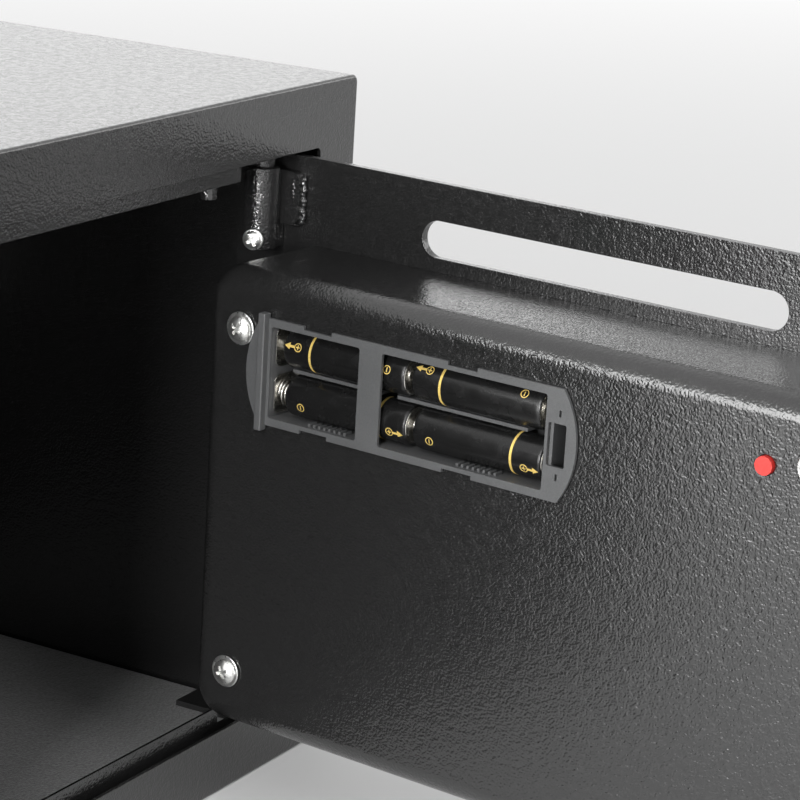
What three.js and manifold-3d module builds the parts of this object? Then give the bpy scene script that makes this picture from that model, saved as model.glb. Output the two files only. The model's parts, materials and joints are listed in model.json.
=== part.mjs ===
// Keypad safe with a drop slot in its door, a knob-driven bolt work and a battery holder on the lock cover.
// Millimetres. Origin: middle of the underside. +X to the right seen from the front, +Y to the back, +Z up.
// The door stands open, as in use when the batteries are changed.

import * as THREE from 'three';
import { mergeVertices } from 'three/addons/utils/BufferGeometryUtils.js';
import Module from 'manifold-3d';

const wasm = await Module();
wasm.setup();

// Clearances
const TOUCH = 0.3; // between pieces that rest on or pass through each other
const RUN = 0.3; // radial play of shafts, pins and buttons

// Body
const BODY_W = 350;
const BODY_D = 250;
const BODY_H = 250;
const WALL = 1.5;
const FACE = 1.5;
const BACK = 1.5;
const BODY_CORNER_R = 3;
const FACE_EDGE_R = 1.2;
const RAIL = 23.4; // width of the face frame round the opening
const OPENING_R = 2;
const ANCHOR_R = 5;
const ANCHOR_X = 90;
const BACK_ANCHOR_Z = 130;
const FLOOR_ANCHOR_Y = 10;
const MAT_T = 3;
const MAT_PLAY = 0.5; // past the round corner between floor and wall

// Stop strips behind the opening
const STOP_DEPTH = 4.6; // from the body's face to the strip's face
const STOP_T = 1;
const STOP_LIP = 6.5; // how far the top and bottom strips reach into the opening
const SIDE_STOP_LIP = 5;
const STOP_END = 3; // end of the top and bottom strips, past the hinge axis
const LIP_END = 25.4; // end of their lips, short of the hinge axis
const LUG_R = 2.8; // lug behind the upper lip, near its end
const LUG_IN = 39.8; // from the hinge axis
const LUG_DOWN = 4.1; // below the lip

// Door
const DOOR_GAP = 1.5;
const DOOR_T = 3;
const DOOR_INSET = 0.5; // closed door's outer face behind the body's face
const DOOR_OPEN_DEG = 83.8;
const SLOT_L = 140.2;
const SLOT_H = 12.8;
const SLOT_DROP = 19.3; // from the door's top edge to the middle of the slot

// Hinges
const HINGE_IN = 16.7; // axis, from the door's hinge-side edge
const HINGE_DEPTH = 11.7; // axis, from the door's outer face
const BARREL_R = 6;
const BARREL_L = 34.4;
const NECK_R = 4.4; // narrow end that bears on the ear
const NECK_L = 5;
const PIN_R = 3;
const PIN_REACH = 25;
const PIN_HEAD_R = 5;
const PIN_HEAD_T = 2;
const PIVOT_T = 2;
const PIVOT_W = 15.4; // pivot plate, from the axis towards the middle
const PIVOT_D = 24.4;
const TAB_W = 12.3; // welded tab, from the axis towards the free side
const LOW_TAB_W = 8.2; // the lower hinge's, beside the cover
const TAB_H = 18.8;
const TAB_T = 3;
const TAB_DROP = 6.7; // from the barrel's end to the tab
const WEB_W = 8;
const SET_SCREW_UP = 4.2; // from the barrel's inner end to the set screw
const SET_SCREW_TURN_DEG = 20; // about the barrel, towards the free side
const SET_SCREW_R = 1.5;
const SET_SCREW_L = 4.5;
const SET_HEAD_R = 3.7;
const SET_HEAD_T = 2;
const SET_HEAD_EDGE = 0.5;

// Lock cover
const COVER_SIDE = 25.3; // from the door's edge to the cover's side
const COVER_TOP_DROP = 30.5; // from the door's top edge
const COVER_FOOT = 6.7; // from the door's bottom edge
const COVER_D = 47.3; // from the door's inner face to the cover's face
const COVER_SHEET = 1.2;
const COVER_CORNER_R = 12;
const COVER_EDGE_R = 8;
const COVER_SCREW_IN_X = 16.3;
const COVER_SCREW_IN_Z = 20.2;
const COVER_SCREW_R = 2.3;
const COVER_SCREW_L = 14;
const COVER_SCREW_FLANGE_R = 5.7;
const COVER_SCREW_FLANGE_T = 0.9;
const COVER_SCREW_DOME_R = 4.4;
const COVER_SCREW_DOME_H = 2.1;
const CROSS_W = 1.1;
const CROSS_L = 4.6;
const CROSS_DEEP = 1.4;
const POST_R = 5;
const POST_BORE_MORE = 1.5; // bore past the screw's end

// Battery holder, measured from its own middle; +X is the hinge side
const CELL_R = 7.1;
const CELL_L = 50.1;
const NUB_R = 2.6;
const NUB_L = 2.3;
const CELL_EDGE = 0.8;
const ROW_PITCH = 16.35;
const CELL_PLAY = 0.4;
const CELL_AXIS_IN = 7.7; // cell axis, below the cover's face
const TRAY_WALL = 1.3;
const TRAY_FLOOR_GAP = 0.5;
const TRAY_SIDE = 85.55; // middle of the cavity, from the cover's hinge side
const TRAY_Z_DROP = 63; // middle of the rows, from the door's top edge
const FLANGE_T = 1.2;
const FLANGE_RIM = 2.775; // flange edge, past the rows
const FLANGE_PAST_HINGE = 3.2; // straight edges end this far past the cavity on the hinge side
const FLANGE_PAST_FREE = 3.85; // and this far on the free side
const FLANGE_RISE = 6.8; // how far the round ends stand out
const WINDOW_SHORT = 1.15; // cavity hidden under the flange at the free end
const BAR_X = 14.3; // middle of the crossbar
const BAR_W = 9.1;
const DIVIDER_T = 1.35;
const DIVIDER_DOWN = 6.2; // top of the divider, below the cover's face
const DIVIDER_X = [[14.3, 51.5], [-43, 8.2]];
const SLIT_W = 0.8; // two slits beside the catch hole
const SLIT_H = 2.2;
const SLIT_PAST = 4; // past the cavity
const SLIT_Z = 10.35;
const CATCH_W = 6.7;
const CATCH_H = 14;
const CATCH_PAST = 3.3; // middle of the catch hole, past the cavity
const RIB_T = 2.8;
const RIB_PROUD = 2.6;
const RIB_PAST_FLANGE = 1.75; // rib's ends, past the flange's edges
const RIB_PAST = 2.45; // middle of the rib, past the cavity
const NOTCH_W = 11.5;
const NOTCH_DEEP = 1.3;
const NOTCH_X = [36.25, -21.85];
const CONTACT_T = 0.5;
const CONTACT_HALF = 6.8;
const CONTACT_CORNER_R = 2.5;
const STRAP_W = 5.8;
const SPRING_WIRE_R = 0.4;
const SPRING_R = 5.2;
const SPRING_TIP_R = 2.9;
const SPRING_TURNS = 3;
const SPRING_L = 3.5;
const SPRING_PLAY = 0.4; // spring's tip to the cell

// Battery lid, taken off and lying on the mat
const LID_T = 1.6;
const LID_RIM = 1.6;
const LID_RIM_H = 2.4;
const LID_CATCH_W = 5;
const LID_CATCH_PLAY = 1;
const LID_X = -70;
const LID_FROM_BACK = 65; // middle of the lid, from the body's back
const LID_TURN_DEG = 12;

// Keypad, on the door's outer face
const PAD_X = -66;
const PAD_DROP = 113.1; // from the door's top edge
const PAD_W = 80;
const PAD_H = 116;
const PAD_T = 12;
const PAD_R = 7;
const PAD_EDGE_R = 2.5;
const KEY_W = 17;
const KEY_H = 15;
const KEY_R = 2.5;
const KEY_EDGE_R = 0.8;
const KEY_COLS = 3;
const KEY_ROWS = 4;
const KEY_PITCH_X = 22.5;
const KEY_PITCH_Z = 21;
const KEY_TOP_Z = 26; // middle of the top row, from the keypad's middle
const KEY_PROUD = 1.7;
const KEY_TRAVEL = 1.2;
const KEY_DEEP = 5.2; // inside the housing
const LED_R = 2.2;
const LED_PITCH = 12;
const LED_UP = 46;
const LED_DEEP = 3;
const LED_PROUD = 0.8;
const LED_GUIDE_T = 2;
const WIRE_HOLE_R = 6;

// Circuit board behind the keypad
const BOARD_X = -49;
const BOARD_UP = 34.4; // from the cover's lower side
const BOARD_W = 70;
const BOARD_H = 48;
const BOARD_T = 1.6;
const BOARD_OFF = 5; // from the door's inner face
const BOARD_STUD_R = 2.5;
const BOARD_STUD_TIP_R = 1.25;
const BOARD_STUD_PAST = 1; // tip past the board
const BOARD_STUD_IN = 4;
const CHIP = [14, 2.4, 10]; // width, height off the board, length
const SOCKET = [12, 6, 6];
const SOCKET_AT = [17.5, 16];
const CAPACITOR_R = 4;
const CAPACITOR_H = 9;
const CAPACITOR_AT = [17.5, -12];

// Knob and its drive
const KNOB_X = 50;
const KNOB_DROP = 110.1; // from the door's top edge
const KNOB_SKIRT_R = 22;
const KNOB_SKIRT_T = 4;
const KNOB_EDGE = 1;
const KNOB_TOP_R = 17;
const KNOB_DOME_T = 4;
const GRIP_L = 40;
const GRIP_W = 12;
const GRIP_T = 16;
const GRIP_R = 5;
const GRIP_EDGE_R = 2.5;
const SHAFT_R = 4;
const SHAFT_IN_KNOB = 14;
const BUSH_R = 6.7;
const BUSH_FLANGE_R = 10;
const BUSH_FLANGE_T = 1;
const BUSH_PAST = 6; // past the door's inner face
const CAM_R = 18;
const CAM_T = 3;
const CAM_CLEAR = 2; // cam to carriage
const CAM_PIN_R = 3;
const CAM_PIN_PAST = 1; // past the carriage
const CRANK_R = 14.14;
const CRANK_DEG = 45; // crank angle from upright at rest
const THROW = 20;

// Bolt work
const BOLT_R = 7;
const BOLT_UNDER = 8; // bolt axis, from the carriage's nearer face
const LOWER_BOLT_UP = 26.2; // lower bolt's axis, above the cover's lower posts
const UPPER_BOLT_DOWN = 22.4; // upper bolt's axis, below the cover's upper posts
const BOLT_TIP_IN = 6.1; // tip at rest, inside the door's free edge
const BOLT_CHAMFER = 1.5;
const STUB_R = 3;
const STUB_HEAD_R = 5;
const STUB_HEAD_T = 2;
const CARRIAGE_T = 2;
const CARRIAGE_CLEAR = 3.7; // to the back of the battery holder
const ARM_W = 10;
const ARM_PAST_BOLT = 10;
const TAB_HALF = 8;
const BAR_DOWN = 23; // the carriage's bar, below the knob's axis
const BAR_UP = 25;
const CARRIAGE_END = 18; // end of the bar, past the knob's axis
const GUIDE_T = 2;
const GUIDE_CLEAR = 1; // to the cover's free side
const GUIDE_GAP = 4; // carriage tab to guide, bolts thrown
const GUIDE_FOOT = 12;
const GUIDE_PAST_BOLT = 10;
const CARRIAGE_POST_X = 0;
const CARRIAGE_POST_DOWN = 7; // below the knob's axis
const CARRIAGE_POST_R = 3;
const CARRIAGE_POST_SHOULDER_R = 5;
const CARRIAGE_POST_HEAD_T = 1.2;
const PIN_SLOT_PLAY = 0.8;
const BLOCK_NOTCH_DEEP = 7;

// Solenoid
const SOL_CLEAR = 2; // to the carriage's arm
const SOL_W = 28;
const SOL_H = 34;
const SOL_UP = 12; // from the carriage's top edge to the solenoid
const SOL_SHEET = 2;
const SOL_PAST = 12; // ends of the frame's arms, past the plunger's axis
const COIL_R = 11;
const PLUNGER_R = 3;
const PLUNGER_L = 30;
const COLLAR_R = 5;
const COLLAR_T = 1.5;
const COLLAR_UP = 1.8;
const PLUNGER_SPRING_R = 4;
const PLUNGER_SPRING_WIRE_R = 0.35;
const PLUNGER_SPRING_TURNS = 5;

// Reset button
const RESET_SIDE = 32.8; // from the cover's free side
const RESET_DROP = 53.1; // from the door's top edge
const RESET_R = 3;
const RESET_PROUD = 1.6;
const RESET_TRAVEL = 1.2;
const RESET_BUTTON_L = 8;
const RESET_BOX = 11;
const RESET_BOX_DEEP = 12;

// Override lock
const LOCK_X = -2;
const LOCK_UP = 35; // above the knob's axis
const LOCK_R = 9;
const LOCK_HEAD_R = 12;
const LOCK_HEAD_T = 2;
const LOCK_NUT_T = 4;
const LOCK_NUT_WALL = 4.5;
const LOCK_NOSE = 3; // nose in front of the head
const PLUG_R = 6;
const PLUG_PAST = 1; // past the lock's body
const PLUG_TAIL_R = 4;
const PLUG_TAIL_L = 4;
const KEYWAY_W = 1.6;
const KEYWAY_H = 8;
const KEYWAY_DEEP = 4;
const LOCK_CAM_L = 32;
const LOCK_CAM_W = 9;
const LOCK_CAM_T = 2;
const LOCK_CAM_CLEAR = 2.7; // lever to carriage
const LOCK_CAM_REST_DEG = 30; // from straight down, towards the hinge
const CAP_WALL = 2;
const CAP_EDGE = 1;
const CAP_OVER = 2; // room between the lock's nose and the cap

// Facets
const ROUND = 24;
const SMALL_ROUND = 12;
const HEX = 6;
const OUTLINE_STEPS = 2; // an outline's arc gets twice as many
const FLANGE_STEPS = 6;
const CORNER_STEPS = 5;
const EDGE_STEPS = 4;
const SMALL_STEPS = 2;
const DOME_STEPS = 3;
const SPRING_STEPS = 8;
const SPRING_SIDES = 5;
const OVERCUT = 1;
const SLOT_END = 0.01; // a round slot's ends stay this much short of a half circle

// Worked out from the sizes above
const DEG = Math.PI / 180;
const OPEN_W = BODY_W - 2 * RAIL;
const OPEN_H = BODY_H - 2 * RAIL;
const DOOR_W = OPEN_W - 2 * DOOR_GAP;
const DOOR_H = OPEN_H - 2 * DOOR_GAP;
const DOOR_Z0 = RAIL + DOOR_GAP;
const DOOR_Z1 = DOOR_Z0 + DOOR_H;
const FRONT_Y = -BODY_D / 2;
const DOOR_Y = FRONT_Y + DOOR_INSET;
const HINGE_X = DOOR_W / 2 - HINGE_IN;
const HINGE_Y = DOOR_Y + HINGE_DEPTH;
const COVER_W = DOOR_W - 2 * COVER_SIDE;
const COVER_Z0 = DOOR_Z0 + COVER_FOOT;
const COVER_Z1 = DOOR_Z1 - COVER_TOP_DROP;
const COVER_FACE = DOOR_T + COVER_D;
const CAVITY_L = 2 * (CELL_L + NUB_L + TOUCH) + SPRING_L + SPRING_PLAY + 2 * (CONTACT_T + TOUCH);
const FLANGE_HALF_H = ROW_PITCH / 2 + CELL_R + CELL_PLAY + FLANGE_RIM;
const FLANGE_CHORD_HINGE = CAVITY_L / 2 + FLANGE_PAST_HINGE;
const FLANGE_CHORD_FREE = CAVITY_L / 2 + FLANGE_PAST_FREE;
const CATCH_X = CAVITY_L / 2 + CATCH_PAST;
const RIB_X = CAVITY_L / 2 + RIB_PAST;
const RIB_H = 2 * (FLANGE_HALF_H + RIB_PAST_FLANGE);
const LID_Y = BODY_D / 2 - LID_FROM_BACK;
const SEAT = DOOR_T + TOUCH; // depth at which pieces sit on the door's inner face
const TRAY_X = COVER_W / 2 - TRAY_SIDE;
const TRAY_Z = DOOR_Z1 - TRAY_Z_DROP;
const TRAY_BACK = CELL_AXIS_IN + CELL_R + TRAY_FLOOR_GAP + TRAY_WALL; // below the cover's face
const KNOB_Z = DOOR_Z1 - KNOB_DROP;
const CARRIAGE_FAR = COVER_FACE - TRAY_BACK - CARRIAGE_CLEAR;
const CARRIAGE_NEAR = CARRIAGE_FAR - CARRIAGE_T;
const BAR_FOOT = KNOB_Z - BAR_DOWN;
const BAR_TOP = KNOB_Z + BAR_UP;
const BOLT_DEPTH = CARRIAGE_NEAR - BOLT_UNDER;
const BOLT_Z = [
  COVER_Z0 + COVER_SCREW_IN_Z + LOWER_BOLT_UP, COVER_Z1 - COVER_SCREW_IN_Z - UPPER_BOLT_DOWN];
const GUIDE_X = -COVER_W / 2 + COVER_SHEET + GUIDE_CLEAR + GUIDE_T;
const CARRIAGE_X = GUIDE_X + GUIDE_GAP + THROW;
const SOL_X = CARRIAGE_X + ARM_W + SOL_CLEAR + SOL_W / 2;
const RESET_X = -COVER_W / 2 + RESET_SIDE;
const LOCK_Z = KNOB_Z + LOCK_UP;
const RESET_Z = DOOR_Z1 - RESET_DROP;
const PAD_Z = DOOR_Z1 - PAD_DROP;
const BOARD_Z = COVER_Z0 + BOARD_UP;

// Solids and outlines

function toSolid(geometry) {
  const bare = geometry.clone();
  bare.deleteAttribute('normal');
  bare.deleteAttribute('uv');
  const merged = mergeVertices(bare, 1e-4);
  return new wasm.Manifold(new wasm.Mesh({
    numProp: 3,
    vertProperties: new Float32Array(merged.attributes.position.array),
    triVerts: new Uint32Array(merged.index.array),
  }));
}

function toGeometry(solid) {
  const mesh = solid.getMesh();
  const geometry = new THREE.BufferGeometry();
  geometry.setAttribute('position', new THREE.BufferAttribute(new Float32Array(mesh.vertProperties), 3));
  geometry.setIndex(new THREE.BufferAttribute(new Uint32Array(mesh.triVerts), 1));
  const flat = geometry.toNonIndexed();
  flat.computeVertexNormals();
  return flat;
}

function join(...geometries) {
  return toGeometry(geometries.map(toSolid).reduce((whole, next) => whole.add(next)));
}

function cut(geometry, ...tools) {
  return toGeometry(tools.map(toSolid).reduce((whole, next) => whole.subtract(next), toSolid(geometry)));
}

function mirroredZ(geometry) {
  return toGeometry(toSolid(geometry).mirror([0, 0, 1]));
}

function box(x0, x1, y0, y1, z0, z1) {
  const geometry = new THREE.BoxGeometry(x1 - x0, y1 - y0, z1 - z0);
  return geometry.translate((x0 + x1) / 2, (y0 + y1) / 2, (z0 + z1) / 2);
}

function rodZ(radius, z0, z1, x = 0, y = 0, sides = SMALL_ROUND) {
  const geometry = new THREE.CylinderGeometry(radius, radius, z1 - z0, sides);
  return geometry.rotateX(Math.PI / 2).translate(x, y, (z0 + z1) / 2);
}

function rodY(radius, y0, y1, x = 0, z = 0, sides = SMALL_ROUND) {
  const geometry = new THREE.CylinderGeometry(radius, radius, y1 - y0, sides);
  return geometry.translate(x, (y0 + y1) / 2, z);
}

function rodX(radius, x0, x1, y = 0, z = 0, sides = SMALL_ROUND) {
  const geometry = new THREE.CylinderGeometry(radius, radius, x1 - x0, sides);
  return geometry.rotateZ(Math.PI / 2).translate((x0 + x1) / 2, y, z);
}

function roundedRect(x0, x1, z0, z1, r) {
  const shape = new THREE.Shape();
  shape.absarc(x1 - r, z0 + r, r, -Math.PI / 2, 0);
  shape.absarc(x1 - r, z1 - r, r, 0, Math.PI / 2);
  shape.absarc(x0 + r, z1 - r, r, Math.PI / 2, Math.PI);
  shape.absarc(x0 + r, z0 + r, r, Math.PI, 1.5 * Math.PI);
  shape.closePath();
  return shape;
}

// An outline in X and Z, given thickness along Y
function plateY(shape, y0, y1, steps = OUTLINE_STEPS) {
  const geometry = new THREE.ExtrudeGeometry(shape, {
    depth: y1 - y0, bevelEnabled: false, curveSegments: steps,
  });
  return geometry.rotateX(Math.PI / 2).translate(0, y1, 0);
}

// An outline in X and Y, given thickness along Z
function plateZ(shape, z0, z1, steps = OUTLINE_STEPS) {
  const geometry = new THREE.ExtrudeGeometry(shape, {
    depth: z1 - z0, bevelEnabled: false, curveSegments: steps,
  });
  return geometry.translate(0, 0, z0);
}

// A profile of [radius, depth] points turned about the Y axis
function turnedY(profile, sides = ROUND) {
  return new THREE.LatheGeometry(profile.map(([r, y]) => new THREE.Vector2(r, y)), sides);
}

function signedVolume(points, faces) {
  return faces.reduce((sum, [a, b, c]) => sum + points[a].dot(points[b].clone().cross(points[c])) / 6, 0);
}

function closedMesh(points, faces) {
  const outward = signedVolume(points, faces) > 0 ? faces : faces.map(([a, b, c]) => [a, c, b]);
  const geometry = new THREE.BufferGeometry().setFromPoints(points);
  geometry.setIndex(outward.flat());
  geometry.setAttribute('normal', geometry.attributes.position.clone());
  geometry.setAttribute('uv', geometry.attributes.position.clone());
  return geometry;
}

// Rings of equal point count, joined into a skin with a flat cap at each end
function skinned(rings) {
  const count = rings[0].length;
  const points = rings.flat();
  const faces = [];
  for (let ring = 0; ring < rings.length - 1; ring += 1) {
    for (let i = 0; i < count; i += 1) {
      const a = ring * count + i;
      const b = ring * count + (i + 1) % count;
      faces.push([a, b, b + count], [a, b + count, a + count]);
    }
  }
  const last = (rings.length - 1) * count;
  for (let i = 1; i < count - 1; i += 1) {
    faces.push([0, i + 1, i], [last, last + i, last + i + 1]);
  }
  return closedMesh(points, faces);
}

function rectRing(halfW, halfH, r, y, steps) {
  const ring = [];
  const corners = [[1, -1, -90], [1, 1, 0], [-1, 1, 90], [-1, -1, 180]];
  for (const [sideX, sideZ, from] of corners) {
    for (let step = 0; step <= steps; step += 1) {
      const angle = (from + step * 90 / steps) * DEG;
      ring.push(new THREE.Vector3(
        sideX * (halfW - r) + r * Math.cos(angle), y, sideZ * (halfH - r) + r * Math.sin(angle)));
    }
  }
  return ring;
}

// A block with round corners in outline and a rounded edge at its y1 end; y0 may lie before or behind y1
function softBlock(
  width, height, cornerR, edgeR, y0, y1, cornerSteps = CORNER_STEPS, edgeSteps = EDGE_STEPS) {
  const towards = Math.sign(y1 - y0);
  const rings = [rectRing(width / 2, height / 2, cornerR, y0, cornerSteps)];
  for (let step = 0; step <= edgeSteps; step += 1) {
    const angle = step * 90 / edgeSteps * DEG;
    const inset = edgeR * (1 - Math.cos(angle));
    const y = y1 - towards * edgeR * (1 - Math.sin(angle));
    rings.push(rectRing(width / 2 - inset, height / 2 - inset, cornerR - inset, y, cornerSteps));
  }
  return skinned(rings);
}

// A round wire wound from startR to tipR along +X; the least gap between its turns is measured and printed
function coilX(name, startR, tipR, wireR, length, turns) {
  const steps = turns * SPRING_STEPS;
  const centres = [];
  const rings = [];
  for (let step = 0; step <= steps; step += 1) {
    const share = step / steps;
    const angle = share * turns * 2 * Math.PI;
    const radius = startR + (tipR - startR) * share;
    const outward = new THREE.Vector3(0, Math.cos(angle), Math.sin(angle));
    const forward = new THREE.Vector3(length / (turns * 2 * Math.PI), 0, 0)
      .add(new THREE.Vector3(0, -Math.sin(angle), Math.cos(angle)).multiplyScalar(radius)).normalize();
    const across = forward.clone().cross(outward);
    const along = wireR + share * (length - 2 * wireR);
    const centre = outward.clone().multiplyScalar(radius).add(new THREE.Vector3(along, 0, 0));
    centres.push(centre);
    const ring = [];
    for (let side = 0; side < SPRING_SIDES; side += 1) {
      const turn = side / SPRING_SIDES * 2 * Math.PI;
      ring.push(centre.clone()
        .addScaledVector(outward, wireR * Math.cos(turn))
        .addScaledVector(across, wireR * Math.sin(turn)));
    }
    rings.push(ring);
  }
  let gap = Infinity;
  centres.forEach((a, i) => centres.slice(i + SPRING_STEPS / 2).forEach((b) => {
    gap = Math.min(gap, a.distanceTo(b) - 2 * wireR);
  }));
  console.log(`${name}: least gap between turns ${gap.toFixed(2)} mm`);
  return skinned(rings);
}

function hexNut(radius, boreR, y0, y1) {
  const outer = new THREE.CylinderGeometry(radius, radius, y1 - y0, HEX).translate(0, (y0 + y1) / 2, 0);
  return cut(outer, rodY(boreR, y0 - OVERCUT, y1 + OVERCUT, 0, 0, ROUND));
}

// Finishes

function finish(hex, roughness, metalness) {
  return new THREE.MeshStandardMaterial({ color: hex, roughness, metalness });
}

const powderCoat = finish(0x1b1b1c, 0.45, 0.3);
const felt = finish(0x3a3a3b, 1, 0);
const blackPlastic = finish(0x232325, 0.5, 0);
const keyPlastic = finish(0x4a4c50, 0.55, 0);
const zinc = finish(0xc9c9c6, 0.3, 0.9);
const steel = finish(0xa8a9ab, 0.35, 0.9);
const nickel = finish(0xd5d3cc, 0.25, 1);
const cellBlack = finish(0x101010, 0.35, 0.1);
const boardGreen = finish(0x14532d, 0.5, 0);
const lens = finish(0xb03024, 0.2, 0);
const copper = finish(0xa5622f, 0.4, 0.8);
const redPlastic = finish(0xb3231c, 0.4, 0);
const brass = finish(0xb59a4c, 0.3, 0.9);

function piece(name, geometry, material, place = [0, 0, 0]) {
  const mesh = new THREE.Mesh(toGeometry(toSolid(geometry)), material);
  mesh.name = name;
  mesh.position.set(...place);
  return mesh;
}

function group(place, ...children) {
  const holder = new THREE.Group();
  holder.position.set(...place);
  holder.add(...children);
  return holder;
}

// Body

function bodyWrap() {
  const outer = roundedRect(-BODY_W / 2, BODY_W / 2, 0, BODY_H, BODY_CORNER_R);
  outer.holes.push(roundedRect(
    -BODY_W / 2 + WALL, BODY_W / 2 - WALL, WALL, BODY_H - WALL, BODY_CORNER_R - WALL));
  const tube = plateY(outer, FRONT_Y + FACE, -FRONT_Y - BACK);
  const holes = [-1, 1].map((side) => rodZ(
    ANCHOR_R, -OVERCUT, WALL + OVERCUT, side * ANCHOR_X, FLOOR_ANCHOR_Y));
  return cut(tube, ...holes);
}

function backPanel() {
  const inside = -FRONT_Y - BACK;
  const sheet = plateY(roundedRect(-BODY_W / 2, BODY_W / 2, 0, BODY_H, BODY_CORNER_R), inside, -FRONT_Y);
  const holes = [-1, 1].map((side) => rodY(
    ANCHOR_R, inside - OVERCUT, -FRONT_Y + OVERCUT, side * ANCHOR_X, BACK_ANCHOR_Z));
  return cut(sheet, ...holes);
}

function faceFrame() {
  const plate = softBlock(
    BODY_W, BODY_H, BODY_CORNER_R, FACE_EDGE_R, FRONT_Y + FACE, FRONT_Y, CORNER_STEPS, SMALL_STEPS);
  plate.translate(0, 0, BODY_H / 2);
  const opening = roundedRect(-OPEN_W / 2, OPEN_W / 2, RAIL, RAIL + OPEN_H, OPENING_R);
  return cut(plate, plateY(opening, FRONT_Y - OVERCUT, FRONT_Y + FACE + OVERCUT));
}

const STOP_Y0 = FRONT_Y + STOP_DEPTH;
const STOP_Y1 = STOP_Y0 + STOP_T;

// Strips behind the top, the free side and the bottom of the opening, with an ear at each hinge for its pin.
// Near the hinges the lips stop short, to leave room for the knuckles; the upper one has a lug near its end.
function stopFrame() {
  const right = BODY_W / 2 - WALL;
  const outline = roundedRect(-right, right, WALL, BODY_H - WALL, BODY_CORNER_R - WALL);
  const sheet = plateY(outline, STOP_Y0, STOP_Y1);
  const clear = [STOP_Y0 - OVERCUT, STOP_Y1 + OVERCUT];
  const lip = RAIL + STOP_LIP;
  const opening = box(-OPEN_W / 2 + SIDE_STOP_LIP, BODY_W, ...clear, lip, BODY_H - lip);
  const knuckleRoom = box(HINGE_X - LIP_END, BODY_W, ...clear, RAIL, BODY_H - RAIL);
  const hingeSide = box(HINGE_X + STOP_END, BODY_W, ...clear, 0, BODY_H);
  const ear = (z0) => cut(
    box(HINGE_X - PIVOT_W, right, STOP_Y0, STOP_Y0 + PIVOT_D, z0, z0 + PIVOT_T),
    rodZ(PIN_R + TOUCH, z0 - OVERCUT, z0 + PIVOT_T + OVERCUT, HINGE_X, HINGE_Y));
  const lug = rodZ(
    LUG_R, BODY_H - lip - LUG_DOWN, BODY_H - RAIL, HINGE_X - LUG_IN, STOP_Y0 + STOP_T / 2 + LUG_R);
  return join(cut(sheet, opening, knuckleRoom, hingeSide), ear(BODY_H - RAIL), ear(RAIL - PIVOT_T), lug);
}

// Upper hinge pin, with z = 0 at the underside of its ear
function hingePin() {
  return join(
    rodZ(PIN_HEAD_R, PIVOT_T + TOUCH, PIVOT_T + TOUCH + PIN_HEAD_T),
    rodZ(PIN_R, -TOUCH - PIN_REACH, PIVOT_T + 2 * TOUCH));
}

function floorMat() {
  const shape = roundedRect(
    -BODY_W / 2 + BODY_CORNER_R + MAT_PLAY, BODY_W / 2 - BODY_CORNER_R - MAT_PLAY,
    STOP_Y1 + TOUCH, BODY_D / 2 - BACK - MAT_PLAY, BODY_CORNER_R);
  const holes = [-1, 1].map((side) => rodZ(
    ANCHOR_R, WALL - OVERCUT, WALL + MAT_T + OVERCUT, side * ANCHOR_X, FLOOR_ANCHOR_Y));
  return cut(plateZ(shape, WALL, WALL + MAT_T), ...holes);
}

const body = group([0, 0, 0],
  piece('body_wrap', bodyWrap(), powderCoat),
  piece('back_panel', backPanel(), powderCoat),
  piece('face_frame', faceFrame(), powderCoat),
  piece('stop_frame', stopFrame(), powderCoat),
  piece('hinge_pin_top', hingePin(), steel, [HINGE_X, HINGE_Y, BODY_H - RAIL]),
  piece('hinge_pin_bottom', hingePin().rotateX(Math.PI), steel, [HINGE_X, HINGE_Y, RAIL]),
  piece('floor_mat', floorMat(), felt));

// Door. In its group X is as when closed, Y is the depth behind the door's outer face and Z the height.

const COVER_CORNERS = [-1, 1].flatMap((side) => [COVER_Z0 + COVER_SCREW_IN_Z, COVER_Z1 - COVER_SCREW_IN_Z]
  .map((z) => [side * (COVER_W / 2 - COVER_SCREW_IN_X), z]));

function boardCorners() {
  return [-1, 1].flatMap((sideX) => [-1, 1].map((sideZ) => [
    sideX * (BOARD_W / 2 - BOARD_STUD_IN), sideZ * (BOARD_H / 2 - BOARD_STUD_IN)]));
}

// The plate carries welded studs for the circuit board and welded posts for the cover's screws
function doorPlate() {
  const shape = roundedRect(-DOOR_W / 2, DOOR_W / 2, DOOR_Z0, DOOR_Z1, OPENING_R);
  const slotZ = DOOR_Z1 - SLOT_DROP;
  shape.holes.push(
    roundedRect(-SLOT_L / 2, SLOT_L / 2, slotZ - SLOT_H / 2, slotZ + SLOT_H / 2, SLOT_H / 2 - SLOT_END));
  const through = [-OVERCUT, DOOR_T + OVERCUT];
  const holes = [
    rodY(BUSH_R + TOUCH, ...through, KNOB_X, KNOB_Z, ROUND),
    rodY(LOCK_R + TOUCH, ...through, LOCK_X, LOCK_Z, ROUND),
    rodY(WIRE_HOLE_R, ...through, PAD_X, PAD_Z)];
  const tipEnd = DOOR_T + BOARD_OFF + BOARD_T + BOARD_STUD_PAST;
  const boardStuds = boardCorners().map(([x, z]) => join(
    rodY(BOARD_STUD_R, DOOR_T / 2, DOOR_T + BOARD_OFF - TOUCH, BOARD_X + x, BOARD_Z + z),
    rodY(BOARD_STUD_TIP_R, DOOR_T / 2, tipEnd, BOARD_X + x, BOARD_Z + z)));
  const postEnd = COVER_FACE - COVER_SHEET - TOUCH;
  const boreEnd = COVER_FACE + TOUCH - COVER_SCREW_L - POST_BORE_MORE;
  const posts = COVER_CORNERS.map(([x, z]) => rodY(POST_R, DOOR_T / 2, postEnd, x, z));
  const bores = COVER_CORNERS.map(([x, z]) => rodY(
    COVER_SCREW_R + TOUCH, boreEnd, postEnd + OVERCUT, x, z));
  return cut(join(cut(plateY(shape, 0, DOOR_T), ...holes), ...boardStuds, ...posts), ...bores);
}

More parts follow.
